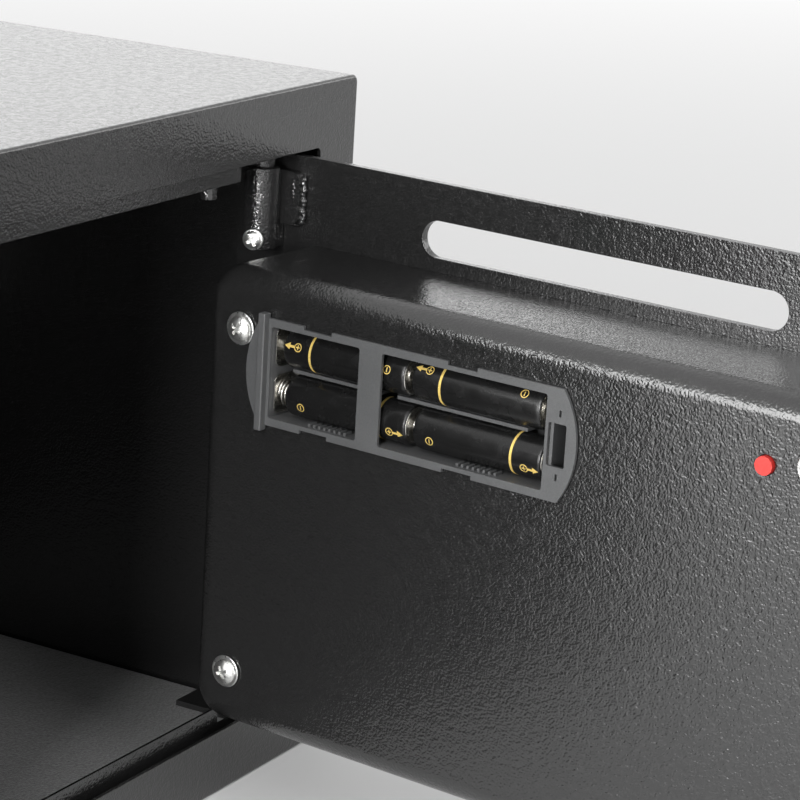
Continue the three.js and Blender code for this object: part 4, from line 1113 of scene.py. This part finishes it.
@dataclass
class LockCover(Assembly):
    """The deep pressed cover over the lock works, and its four screws."""

    half_width: float = 124.8
    foot: float = 31.6
    top: float = 194.6
    near: float = 3.3
    face: float = 50.3
    sheet: float = 1.2
    corner_r: float = 12
    edge_r: float = 8
    screw_x: float = 108.5
    screw_z: tuple[float, float] = (51.8, 174.4)
    tray_hole: tuple[float, float, float, float] = (-17.8, 96.3, 144.825, 179.375)
    catch_hole: tuple[float, float, float, float] = (-22.85, -16.15, 155.1, 169.1)
    reset_at: tuple[float, float] = (-92, 172)
    bolt_z: tuple[float, float] = (78, 152)
    bolt_depth: float = 20
    flange_r: float = 5.7
    flange_t: float = 0.9
    dome_r: float = 4.4
    dome_h: float = 2.1
    shank_r: float = 2.3
    shank_length: float = 14
    screw_hole_r: float = 2.6
    reset_hole_r: float = 3.3
    bolt_hole_r: float = 7.6

    def build(self) -> None:
        """Builds the cover and its screws."""
        self.build_cover()
        self.build_screws()

    def build_cover(self) -> None:
        """Presses the cover from a block, hollows it to its sheet and punches its holes."""
        cover = soft_block(
            "lock_cover",
            (-self.half_width, self.near, self.foot),
            (self.half_width, self.face, self.top),
            self.corner_r,
            Axis.Y,
            steps=12,
        )
        with editing(cover):
            pick_faces(lambda _, normal: normal.y > 0.9)
            bpy.ops.mesh.region_to_loop()
            bpy.ops.mesh.bevel(offset=self.edge_r, segments=10, affect="EDGES")
            bpy.ops.mesh.select_all(action="DESELECT")
            pick_faces(lambda _, normal: normal.y < -0.9)
            bpy.ops.mesh.delete(type="FACE")
        modify(cover, "SOLIDIFY", thickness=self.sheet, offset=-1, use_even_offset=True)
        low, high = self.face - self.sheet - 1, self.face + 1
        punches = [
            rod("screw_hole", self.screw_hole_r, (x, low, z), (x, high, z))
            for x in (-self.screw_x, self.screw_x)
            for z in self.screw_z
        ]
        for x0, x1, z0, z1 in (self.tray_hole, self.catch_hole):
            punches.append(block("window", (x0, low, z0), (x1, high, z1)))
        x, z = self.reset_at
        punches.append(rod("reset_hole", self.reset_hole_r, (x, low, z), (x, high, z)))
        x0, x1 = -self.half_width - 1, -self.half_width + self.sheet + 1
        for z in self.bolt_z:
            start, end = (x0, self.bolt_depth, z), (x1, self.bolt_depth, z)
            punches.append(rod("bolt_hole", self.bolt_hole_r, start, end))
        cut(cover, *punches)
        shade(cover, 30)
        self.keep(cover, POWDER, DOOR_PLACE, "door", "powder_coat", ("inner_cover",))

    def build_screws(self) -> None:
        """Builds one flanged screw and copies it to the four corners."""
        seat = self.face + 0.3
        rings = [(self.shank_r, -self.shank_length), (self.shank_r, 0)]
        rings += [(self.flange_r - 0.3, 0), (self.flange_r, 0.25)]
        rings += [(self.flange_r, self.flange_t - 0.3), (self.flange_r - 0.35, self.flange_t)]
        rings.append((self.dome_r, self.flange_t + 0.05))
        for step in range(1, 7):
            angle = step * math.pi / 14
            height = self.flange_t + self.dome_h * math.sin(angle)
            rings.append((self.dome_r * math.cos(angle), height))
        top = self.flange_t + self.dome_h
        rings.append((0, top))
        screw = turned("cover_screw", rings, (0, 0, 0), (0, 1, 0))
        cut(screw, *cross_cutters(top, 1.4))
        soften(screw, 0.12, 2, 50)
        shade(screw, 40)
        places = [(sign * self.screw_x, z) for sign in (-1, 1) for z in self.screw_z]
        for index, (x, z) in enumerate(places, 1):
            turn = Matrix.Rotation(math.radians(23 + 31 * index), 4, "Y")
            place = Matrix.Translation((x, seat, z)) @ turn
            copy = copied(screw, f"cover_screw_{index}_head", place)
            self.keep(copy, ZINC, DOOR_PLACE, "door", "zinc", (f"cover_screw_{index}",))
        bpy.data.objects.remove(screw)


def cross_cutters(top: float, deep: float) -> list[bpy.types.Object]:
    """Builds the two bars that press a cross into a screw's head.

    Args:
        top: The head's top, along Y.
        deep: The cross's depth.

    Returns:
        The two bars.
    """
    long, thin = CROSS_LENGTH / 2, CROSS_WIDTH / 2
    return [
        block("arm", (-long, top - deep, -thin), (long, top + 1, thin)),
        block("arm", (-thin, top - deep, -long), (thin, top + 1, long)),
    ]


@dataclass
class BatteryHolder(Assembly):
    """The open holder in the cover, with its contacts.

    Its origin is the middle of its rows at the cover's face.
    """

    at: Point = (39.25, 50.3, 162.1)
    half_height: float = 18.45
    chord_hinge: float = 58.65
    chord_free: float = 59.3
    rise: float = 6.8
    bottom: float = 0.3
    flange_top: float = 1.5
    cavity: float = 110.9
    window_free: float = -54.3
    row_pitch: float = 16.35
    row_half: float = 7.5
    wall: float = 1.3
    tub_back: float = -16.6
    bar: tuple[float, float] = (9.75, 18.85)
    catch: tuple[float, float, float] = (-58.75, 3.35, 7.0)
    slit: Point = (-59.45, 0.8, 2.2)
    slit_z: float = 10.35
    rib_x: float = 57.9
    rib_t: float = 2.8
    rib_top: float = 4.1
    rib_height: float = 40.4
    notch_x: tuple[float, float] = (36.25, -21.85)
    notch_w: float = 11.5
    notch_deep: float = 1.3
    divider_t: float = 1.35
    divider_top: float = -6.2
    dividers: tuple[tuple[float, float], ...] = ((14.3, 51.5), (-43, 8.2))
    axis_depth: float = -7.7
    contact_half: float = 6.8
    contact_r: float = 2.5
    contact_t: float = 0.5
    strap_half: float = 2.9
    spring_wire: float = 0.38
    spring_length: float = 3.4
    spring_turns: float = 3.2
    spring_wide: float = 5.0
    spring_tip: float = 2.9
    comb_starts: tuple[float, float] = (-36, 24)
    comb_count: int = 8
    comb_pitch: float = 2.1

    def place(self) -> Matrix:
        """Returns the holder's place on the safe."""
        return DOOR_PLACE @ Matrix.Translation(self.at)

    def build(self) -> None:
        """Builds the holder and its contacts."""
        self.build_tray()
        self.build_contacts()

    def flange(self, name: str, low: float, high: float, inset: float = 0) -> bpy.types.Object:
        """Builds the flange's outline, straight along the rows and round at both ends.

        Args:
            name: The object's name.
            low: Where it starts, along Y.
            high: Where it ends.
            inset: How much smaller it is all round.

        Returns:
            The closed plate.
        """
        half, rise = self.half_height, self.rise
        radius = (half * half + rise * rise) / (2 * rise)
        ends = []
        for sign, chord in ((1, self.chord_hinge), (-1, self.chord_free)):
            select_only()
            middle = sign * (chord + rise - radius)
            bpy.ops.mesh.primitive_circle_add(
                vertices=144,
                radius=radius - inset,
                fill_type="NOTHING",
                location=(middle, low, 0),
                rotation=(math.pi / 2, 0, 0),
            )
            end = named("end")
            bpy.ops.object.transform_apply()
            reach = half - inset
            with editing(end, Pick.CORNERS):
                pick_corners(
                    lambda place: (place.x - middle) * sign < 0 or abs(place.z) > reach - 0.3
                )
                bpy.ops.mesh.delete(type="VERT")
            ends.append(end)
        outline = gather(name, *ends)
        lowest = max(corner.co.z for corner in outline.data.vertices)
        with editing(outline, Pick.CORNERS):
            for side in (-1, 1):
                bpy.ops.mesh.select_all(action="DESELECT")
                pick_corners(lambda place: side * place.z > lowest - 1e-3)
                bpy.ops.mesh.edge_face_add()
            bpy.ops.mesh.select_all(action="SELECT")
            bpy.ops.mesh.edge_face_add()
            bpy.ops.mesh.select_all(action="SELECT")
            bpy.ops.mesh.extrude_region_move(TRANSFORM_OT_translate={"value": (0, high - low, 0)})
            bpy.ops.mesh.select_all(action="SELECT")
            bpy.ops.mesh.normals_make_consistent(inside=False)
            stretch = (half - inset) / lowest
            bpy.ops.transform.resize(value=(1, 1, stretch), center_override=(0, 0, 0))
        return outline

    def build_tray(self) -> None:
        """Builds the flange with its windows, the tub under it, the rib and the comb ribs."""
        flange = self.flange("battery_holder", self.bottom, self.flange_top)
        half = self.cavity / 2
        reach = self.row_pitch / 2 + self.row_half
        windows = [
            soft_block("window", (x0, -1, -reach), (x1, 3, reach), 0.8, Axis.Y, 3)
            for x0, x1 in ((self.window_free, self.bar[0]), (self.bar[1], half))
        ]
        x, catch_w, catch_h = self.catch
        windows.append(
            soft_block(
                "catch", (x - catch_w, -1, -catch_h), (x + catch_w, 3, catch_h), 0.6, Axis.Y, 3
            )
        )
        slit_x, slit_w, slit_h = self.slit
        for side in (-1, 1):
            z = side * self.slit_z
            windows.append(
                block(
                    "slit",
                    (slit_x - slit_w / 2, -1, z - slit_h / 2),
                    (slit_x + slit_w / 2, 3, z + slit_h / 2),
                )
            )
            edges = (self.half_height - self.notch_deep, self.half_height + 1)
            z0, z1 = sorted(side * edge for edge in edges)
            for notch_x in self.notch_x:
                x0 = notch_x - self.notch_w / 2
                windows.append(block("notch", (x0, -1, z0), (x0 + self.notch_w, 3, z1)))
        cut(flange, *windows)
        soften(flange, 0.22, 2)
        shade(flange)
        tub = self.tub()
        rib_half = self.rib_t / 2
        rib = block(
            "rib",
            (self.rib_x - rib_half, 0.6, -self.rib_height / 2),
            (self.rib_x + rib_half, self.rib_top, self.rib_height / 2),
        )
        soften(rib, 0.45, 3)
        shade(rib)
        tray = gather("battery_holder", flange, tub, rib)
        self.keep(tray, TRAY_PLASTIC, self.place(), "door", "black_plastic", ("battery_tray",))

    def tub(self) -> bpy.types.Object:
        """Builds the tub with the dividers between its rows and the comb ribs on its lower side.

        Returns:
            The tub.
        """
        half = self.cavity / 2
        reach = self.row_pitch / 2 + self.row_half
        tub = block(
            "tub",
            (-half - self.wall, self.tub_back, -reach - self.wall),
            (half + self.wall, self.bottom - 0.02, reach + self.wall),
        )
        hollow = block(
            "hollow", (-half, self.tub_back + self.wall, -reach), (half, self.bottom + 1, reach)
        )
        cut(tub, hollow)
        soften(tub, 0.2, 2)
        parts = [tub]
        thick = self.divider_t / 2
        for x0, x1 in self.dividers:
            foot = self.tub_back + self.wall - 0.2
            divider = block("divider", (x0, foot, -thick), (x1, self.divider_top, thick))
            soften(divider, 0.25, 2)
            parts.append(divider)
        for start in self.comb_starts:
            for step in range(self.comb_count):
                x = start + self.comb_pitch * step
                comb = block("comb", (x, -4.2, -reach - 0.2), (x + 1.0, -0.2, -reach + 1.0))
                soften(comb, 0.2, 1)
                parts.append(comb)
        tub = gather("tub", *parts)
        shade(tub)
        return tub

    def build_contacts(self) -> None:
        """Builds the four contact plates and the two conical springs."""
        row = self.row_pitch / 2
        face = self.cavity / 2 - 0.3
        thick = self.contact_t
        plus = self.plate("plus_contact", face, row, -1)
        minus = gather(
            "minus_contact",
            self.plate("plate", face, -row, -1),
            self.spring(face - thick, -row, -1),
        )
        strap = block(
            "strap",
            (-face, self.axis_depth - self.strap_half, -row + self.contact_half - 0.5),
            (-face + thick - 0.1, self.axis_depth + self.strap_half, row - self.contact_half + 0.5),
        )
        bridge = gather(
            "bridge_contact",
            self.plate("plate", -face, -row, 1),
            self.plate("plate", -face, row, 1),
            strap,
            self.spring(-face + thick, row, 1),
        )
        place = self.place()
        self.keep(plus, NICKEL, place, "door", "nickel", ("contact_plus",))
        self.keep(minus, NICKEL, place, "door", "nickel", ("contact_minus",))
        self.keep(bridge, NICKEL, place, "door", "nickel", ("contact_bridge",))

    def plate(self, name: str, x: float, z: float, towards: int) -> bpy.types.Object:
        """Builds a square contact plate with round corners and a raised rim.

        Args:
            name: The object's name.
            x: Where its back lies.
            z: The row's height.
            towards: 1 or -1, the way that its front faces along X.

        Returns:
            The plate.
        """
        half, y = self.contact_half, self.axis_depth
        near, far = sorted((x, x + towards * self.contact_t))
        obj = soft_block(
            name,
            (near, y - half, z - half),
            (far, y + half, z + half),
            self.contact_r,
            Axis.X,
        )
        with editing(obj):
            pick_faces(lambda _, normal: normal.x * towards > 0.9)
            bpy.ops.mesh.inset(thickness=0.45)
            bpy.ops.mesh.inset(thickness=0.25, depth=-0.2)
        soften(obj, 0.08, 2)
        shade(obj)
        return obj

    def spring(self, x: float, z: float, towards: int) -> bpy.types.Object:
        """Winds a conical contact spring.

        Args:
            x: Where its wide end starts.
            z: The row's height.
            towards: 1 or -1, the way that it stands along X.

        Returns:
            The spring.
        """
        wire, wide, tip = self.spring_wire, self.spring_wide, self.spring_tip
        curve = bpy.data.curves.new("spring", "CURVE")
        curve.dimensions = "3D"
        curve.bevel_depth = wire
        curve.bevel_resolution = 3
        curve.use_fill_caps = True
        count = 110
        path = curve.splines.new("POLY")
        path.points.add(count - 1)
        for index, point in enumerate(path.points):
            share = index / (count - 1)
            angle = share * self.spring_turns * 2 * math.pi
            radius = wide + (tip - wide) * share
            climb = max(0.0, share * 1.25 - 0.12) / 1.13
            rise = wire + (self.spring_length - 2 * wire) * climb
            point.co = (
                x + towards * rise,
                self.axis_depth + radius * math.cos(angle),
                z + radius * math.sin(angle),
                1,
            )
        obj = bpy.data.objects.new("spring", curve)
        bpy.context.collection.objects.link(obj)
        select_only(obj)
        bpy.ops.object.convert(target="MESH")
        spring = named("spring")
        with editing(spring):
            bpy.ops.mesh.select_all(action="SELECT")
            bpy.ops.mesh.remove_doubles(threshold=TINY)
            bpy.ops.mesh.normals_make_consistent(inside=False)
        bpy.ops.object.shade_smooth()
        return spring


class Mark(Enum):
    """A generic mark that is printed on a cell."""

    ARROW = "arrow"
    PLUS = "plus"
    MINUS = "minus"
    RING = "ring"


@dataclass
class Cells(Assembly):
    """The four AA cells with their polarity marks, modelled along X with the nub end at +X."""

    holder: Point = (39.25, 50.3, 162.1)
    radius: float = 7.1
    length: float = 50.1
    nub_r: float = 2.6
    nub_l: float = 2.3
    axis_depth: float = -7.7
    row: float = 8.175
    sleeve_from: float = -22.9
    sleeve_to: float = 23.8
    arrow_x: float = 21.6
    plus_x: float = 18.8
    minus_x: float = -17.8
    ring_x: float = 13.7
    ring_half: float = 0.45
    badge_r: float = 1.5
    badge_line: float = 0.32
    stroke: float = 0.18
    stroke_reach: float = 0.8

    def build(self) -> None:
        """Builds one cell, copies it to the four places and prints each one's marks."""
        sleeve = self.sleeve()
        can = self.can()
        places = (
            (27.0, self.row, 1, 15, 15),
            (-25.7, self.row, 1, 41, 41),
            (-27.0, -self.row, -1, -23, -16),
            (25.7, -self.row, -1, -19, -17),
        )
        for number, (x, z, nub, angle, minus_angle) in enumerate(places, 1):
            turn = Matrix.Identity(4) if nub > 0 else Matrix.Rotation(math.pi, 4, "Y")
            local = Matrix.Translation((x, self.axis_depth, z)) @ turn
            place = DOOR_PLACE @ Matrix.Translation(self.holder)
            skin = copied(sleeve, f"cell_{number}_sleeve", local)
            metal = copied(can, f"cell_{number}_can", local)
            self.keep(skin, CELL_LABEL, place, "door", "cell_label", (f"battery_cell_{number}",))
            self.keep(metal, NICKEL, place, "door", "nickel")
            marks = [moved(mark, local) for mark in self.marks(nub * angle, nub * minus_angle)]
            printed = gather(f"cell_{number}_marks", *marks)
            self.keep(printed, GOLD_INK, place, "door", "cell_label")
        bpy.data.objects.remove(sleeve)
        bpy.data.objects.remove(can)

    def sleeve(self) -> bpy.types.Object:
        """Builds the film sleeve with its shrunk ends.

        Returns:
            The sleeve.
        """
        r, a, b = self.radius, self.sleeve_from, self.sleeve_to
        rings = [
            (r - 0.75, a - 1.55),
            (r - 0.62, a - 1.7),
            (r - 0.25, a - 1.35),
            (r - 0.05, a - 0.7),
            (r, a),
            (r, b),
            (r - 0.1, b + 0.55),
            (r - 0.42, b + 0.9),
            (r - 0.85, b + 1.0),
            (r - 0.9, b + 0.9),
        ]
        sleeve = turned("sleeve", rings, (0, 0, 0), (1, 0, 0), sides=64)
        shade(sleeve, 60)
        return sleeve

    def can(self) -> bpy.types.Object:
        """Builds the can: the rim and dimple at one end, the shoulder and nub at the other.

        Returns:
            The can.
        """
        end = self.length / 2
        rings = [
            (3.2, -end + 0.35),
            (3.6, -end + 0.1),
            (5.0, -end),
            (6.0, -end + 0.15),
            (6.35, -end + 0.5),
            (6.35, end - 0.75),
            (6.0, end - 0.2),
            (5.3, end),
            (4.4, end - 0.2),
            (3.3, end),
            (self.nub_r + 0.2, end + 0.3),
            (self.nub_r, end + 0.6),
            (self.nub_r, end + self.nub_l - 0.3),
            (self.nub_r - 0.3, end + self.nub_l),
        ]
        can = turned("can", rings, (0, 0, 0), (1, 0, 0), sides=64)
        shade(can, 40)
        return can

    def marks(self, angle: float, minus_angle: float) -> list[bpy.types.Object]:
        """Prints a cell's marks.

        Args:
            angle: Where they lie round the cell, in degrees from straight out, up positive.
            minus_angle: Where the minus mark lies.

        Returns:
            The marks, wrapped on the cell.
        """
        return [
            self.wrapped(Mark.ARROW, self.arrow_x, angle),
            self.wrapped(Mark.PLUS, self.plus_x, angle),
            self.wrapped(Mark.MINUS, self.minus_x, minus_angle),
            self.wrapped(Mark.RING, self.ring_x, 0),
        ]

    def wrapped(self, mark: Mark, x: float, angle: float) -> bpy.types.Object:
        """Cuts a mark flat and wraps it round the cell.

        Args:
            mark: Which mark.
            x: Its place along the cell.
            angle: Its place round the cell, in degrees.

        Returns:
            The mark.
        """
        if mark is Mark.RING:
            inner, outer, half = self.radius - 0.2, self.radius + 0.04, self.ring_half
            ring = turned(
                "ring",
                [(inner, -half), (outer, -half), (outer, half), (inner, half)],
                (x, 0, 0),
                (1, 0, 0),
                sides=96,
                bored=True,
            )
            shade(ring)
            return ring
        parts = []
        if mark is Mark.ARROW:
            parts.append(flat_bar("stem", (-1.3, -0.42), (0.9, 0.42)))
            parts.append(flat_arrow("head", 0.5, 2.2, 2.3))
        else:
            thin, long = self.stroke, self.stroke_reach
            parts.append(flat_ring("circle", self.badge_r, self.badge_line))
            parts.append(flat_bar("dash", (-thin, -long), (thin, long)))
            if mark is Mark.PLUS:
                parts.append(flat_bar("bar", (-long, -thin), (long, thin)))
        flat = gather(mark.value, *parts)
        lift = self.radius + 0.035
        for corner in flat.data.vertices:
            turn = corner.co.y / self.radius + math.radians(angle)
            corner.co = Vector(
                (x + corner.co.x, lift * math.cos(turn), lift * math.sin(turn))
            )
        modify(flat, "SOLIDIFY", thickness=0.03, offset=0)
        return flat


def flat_bar(name: str, low: tuple[float, float], high: tuple[float, float]) -> bpy.types.Object:
    """Adds a flat bar in the XY plane, divided so that it can be wrapped.

    Args:
        name: The object's name.
        low: Its lowest corner.
        high: Its highest corner.

    Returns:
        The bar.
    """
    select_only()
    bpy.ops.mesh.primitive_grid_add(x_subdivisions=2, y_subdivisions=8, size=1)
    obj = named(name)
    obj.scale = (high[0] - low[0], high[1] - low[1], 1)
    obj.location = ((low[0] + high[0]) / 2, (low[1] + high[1]) / 2, 0)
    bpy.ops.object.transform_apply()
    return obj


def flat_ring(name: str, radius: float, width: float) -> bpy.types.Object:
    """Adds a flat ring in the XY plane.

    Args:
        name: The object's name.
        radius: Its outer radius.
        width: Its width.

    Returns:
        The ring.
    """
    select_only()
    bpy.ops.mesh.primitive_circle_add(vertices=40, radius=radius, fill_type="NOTHING")
    obj = named(name)
    inner = (radius - width) / radius
    with editing(obj, Pick.EDGES):
        bpy.ops.mesh.select_all(action="SELECT")
        bpy.ops.mesh.extrude_region_move()
        bpy.ops.transform.resize(value=(inner, inner, 1), center_override=(0, 0, 0))
    return obj


def flat_arrow(name: str, start: float, length: float, width: float) -> bpy.types.Object:
    """Adds a flat arrow head in the XY plane that points along +X.

    Args:
        name: The object's name.
        start: Where its base lies, along X.
        length: Its length.
        width: Its width.

    Returns:
        The arrow head.
    """
    select_only()
    bpy.ops.mesh.primitive_grid_add(x_subdivisions=6, y_subdivisions=8, size=1)
    obj = named(name)
    obj.scale = (length, width, 1)
    obj.location = (start + length / 2, 0, 0)
    bpy.ops.object.transform_apply()
    for corner in obj.data.vertices:
        share = (corner.co.x - start) / length
        corner.co.y *= max(0.02, 1 - share)
    return obj


@dataclass
class Fittings(Assembly):
    """Everything whose shape in the frame is right, which gets its finish alone."""

    def build(self) -> None:
        """Carries over the CAD nodes."""
        self.carry_over(
            BLACK_PLASTIC,
            "battery_lid",
            "keypad_housing",
            "knob",
            "override_cap",
            "reset_switch",
            "solenoid_coil",
        )
        self.carry_over(KEY_PLASTIC, *[f"key_{name}" for name in (*range(10), "clear", "enter")])
        self.carry_over(RED_PLASTIC, "reset_button")
        self.carry_over(LENS_RED, "indicator_lens")
        self.carry_over(BOARD_GREEN, "circuit_board")
        self.carry_over(COPPER, "plunger_spring")
        self.carry_over(BRASS, "lock_plug")
        self.carry_over(
            STEEL,
            "bolt_carriage",
            "bolt_guide",
            "bolt_lower",
            "bolt_upper",
            "cam_shaft",
            "carriage_post",
            "lock_cam",
            "solenoid_frame",
            "solenoid_plunger",
        )
        self.carry_over(ZINC, "lock_body", "lock_nut", "shaft_bush")


# Studio


@dataclass(frozen=True)
class PhotoCamera:
    """The camera where the photograph's camera stood. Its angles are in radians."""

    place: Point = (-0.690025, -0.631304, 0.411821)
    azimuth: float = 1.0626764
    elevation: float = 0.2729074
    roll: float = -0.0603706
    focal_px: float = 2852.453
    image_px: float = 800
    sensor: float = 36

    def build(self) -> None:
        """Adds the camera and makes it the scene's."""
        sin_a, cos_a = math.sin(self.azimuth), math.cos(self.azimuth)
        sin_e, cos_e = math.sin(self.elevation), math.cos(self.elevation)
        forward = Vector((sin_a * cos_e, cos_a * cos_e, -sin_e))
        right = Vector((cos_a, -sin_a, 0))
        down = forward.cross(right)
        across = math.cos(self.roll) * right + math.sin(self.roll) * down
        below = -math.sin(self.roll) * right + math.cos(self.roll) * down
        select_only()
        bpy.ops.object.camera_add()
        camera = named("photo_camera")
        turn = Matrix((across, -below, -forward)).transposed().to_4x4()
        camera.matrix_world = Matrix.Translation(self.place) @ turn
        camera.data.sensor_width = self.sensor
        camera.data.lens = self.focal_px * self.sensor / self.image_px
        camera.data.clip_end = 50
        bpy.context.scene.camera = camera


@dataclass(frozen=True)
class Softbox:
    """A soft lamp that looks at the safe. Sizes and places are in metres."""

    name: str
    place: Point
    size: tuple[float, float]
    power: float
    target: Point = (0.05, -0.15, 0.12)

    def build(self) -> None:
        """Adds the lamp."""
        select_only()
        bpy.ops.object.light_add(type="AREA", location=self.place)
        lamp = named(self.name)
        lamp.data.shape = "RECTANGLE"
        lamp.data.size, lamp.data.size_y = self.size
        lamp.data.energy = self.power
        aim = Vector(self.target) - Vector(self.place)
        lamp.rotation_euler = aim.to_track_quat("-Z", "Y").to_euler()


@dataclass(frozen=True)
class Studio:
    """The pale floor, the lamps and the world."""

    floor_size: float = 12
    floor_shade: float = 0.82
    clear_from: float = 0.9
    clear_to: float = 2.6
    world_diffuse: float = 0.5
    lamps: tuple[Softbox, ...] = (
        Softbox("lamp_back_right", (2.2, 1.6, 1.0), (1.6, 1.2), 6),
        Softbox("lamp_left", (-1.6, -0.2, 1.5), (1.0, 1.0), 16),
        Softbox("lamp_front", (-0.4, -2.0, 1.4), (1.0, 1.0), 12),
        Softbox("lamp_back_left", (-1.5, 0.7, 0.5), (1.2, 1.0), 30),
        Softbox("lamp_front_right", (2.0, -1.4, 0.9), (1.4, 1.2), 9),
        Softbox("strip_left", (-1.8, -0.45, 0.5), (0.25, 0.8), 32),
    )

    def build(self) -> None:
        """Builds the floor, the lamps and the world."""
        self.build_floor()
        for lamp in self.lamps:
            lamp.build()
        self.build_world()
        bpy.context.scene.view_settings.view_transform = "Standard"

    def build_floor(self) -> None:
        """Adds the floor, which fades into the white surroundings away from the safe."""
        select_only()
        bpy.ops.mesh.primitive_plane_add(size=self.floor_size)
        floor = named("studio_floor")
        graph = Graph("studio_floor")
        distance = graph.add("ShaderNodeVectorMath", {0: graph.place()}, operation="LENGTH")
        far = graph.between(distance.outputs["Value"], (self.clear_from, self.clear_to), (0, 1))
        rays = graph.add("ShaderNodeLightPath", {})
        seen = graph.add(
            "ShaderNodeMath",
            {0: far, 1: rays.outputs["Is Camera Ray"]},
            operation="MULTIPLY",
        )
        paper = graph.add(
            "ShaderNodeBsdfPrincipled",
            {"Base Color": grey(self.floor_shade), "Roughness": 0.9},
        )
        white = graph.add("ShaderNodeEmission", {"Color": grey(1), "Strength": 1.0})
        mix = graph.add(
            "ShaderNodeMixShader",
            {0: seen.outputs[0], 1: paper.outputs[0], 2: white.outputs[0]},
        )
        graph.add("ShaderNodeOutputMaterial", {"Surface": mix.outputs[0]})
        floor.data.materials.append(graph.material)

    def build_world(self) -> None:
        """Makes the world white where it is seen or mirrored, and softer where it lights."""
        world = bpy.data.worlds.new("studio_world")
        bpy.context.scene.world = world
        world.use_nodes = True
        nodes, links = world.node_tree.nodes, world.node_tree.links
        nodes.clear()
        rays = nodes.new("ShaderNodeLightPath")
        seen = nodes.new("ShaderNodeMath")
        seen.operation = "MAXIMUM"
        links.new(rays.outputs["Is Camera Ray"], seen.inputs[0])
        links.new(rays.outputs["Is Glossy Ray"], seen.inputs[1])
        through = nodes.new("ShaderNodeMath")
        through.operation = "MAXIMUM"
        links.new(seen.outputs[0], through.inputs[0])
        links.new(rays.outputs["Is Transmission Ray"], through.inputs[1])
        level = nodes.new("ShaderNodeMapRange")
        level.inputs["To Min"].default_value = self.world_diffuse
        links.new(through.outputs[0], level.inputs["Value"])
        sky = nodes.new("ShaderNodeBackground")
        sky.inputs["Color"].default_value = grey(1)
        links.new(level.outputs[0], sky.inputs["Strength"])
        out = nodes.new("ShaderNodeOutputWorld")
        links.new(sky.outputs[0], out.inputs["Surface"])


def main() -> None:
    """Loads the frame, builds and dresses each sub-assembly, and sets the studio round it."""
    logging.basicConfig(level=logging.INFO, format="%(message)s")
    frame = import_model()
    PhotoCamera().build()
    assemblies: list[Assembly] = [
        Shell(frame),
        DoorPlate(frame),
        Hinges(frame),
        LockCover(frame),
        BatteryHolder(frame),
        Cells(frame),
        Fittings(frame),
    ]
    for assembly in assemblies:
        LOG.info("-- %s", type(assembly).__name__)
        assembly.build()
        assembly.dress()
    Studio().build()
    select_only()


if __name__ == "__main__":
    main()
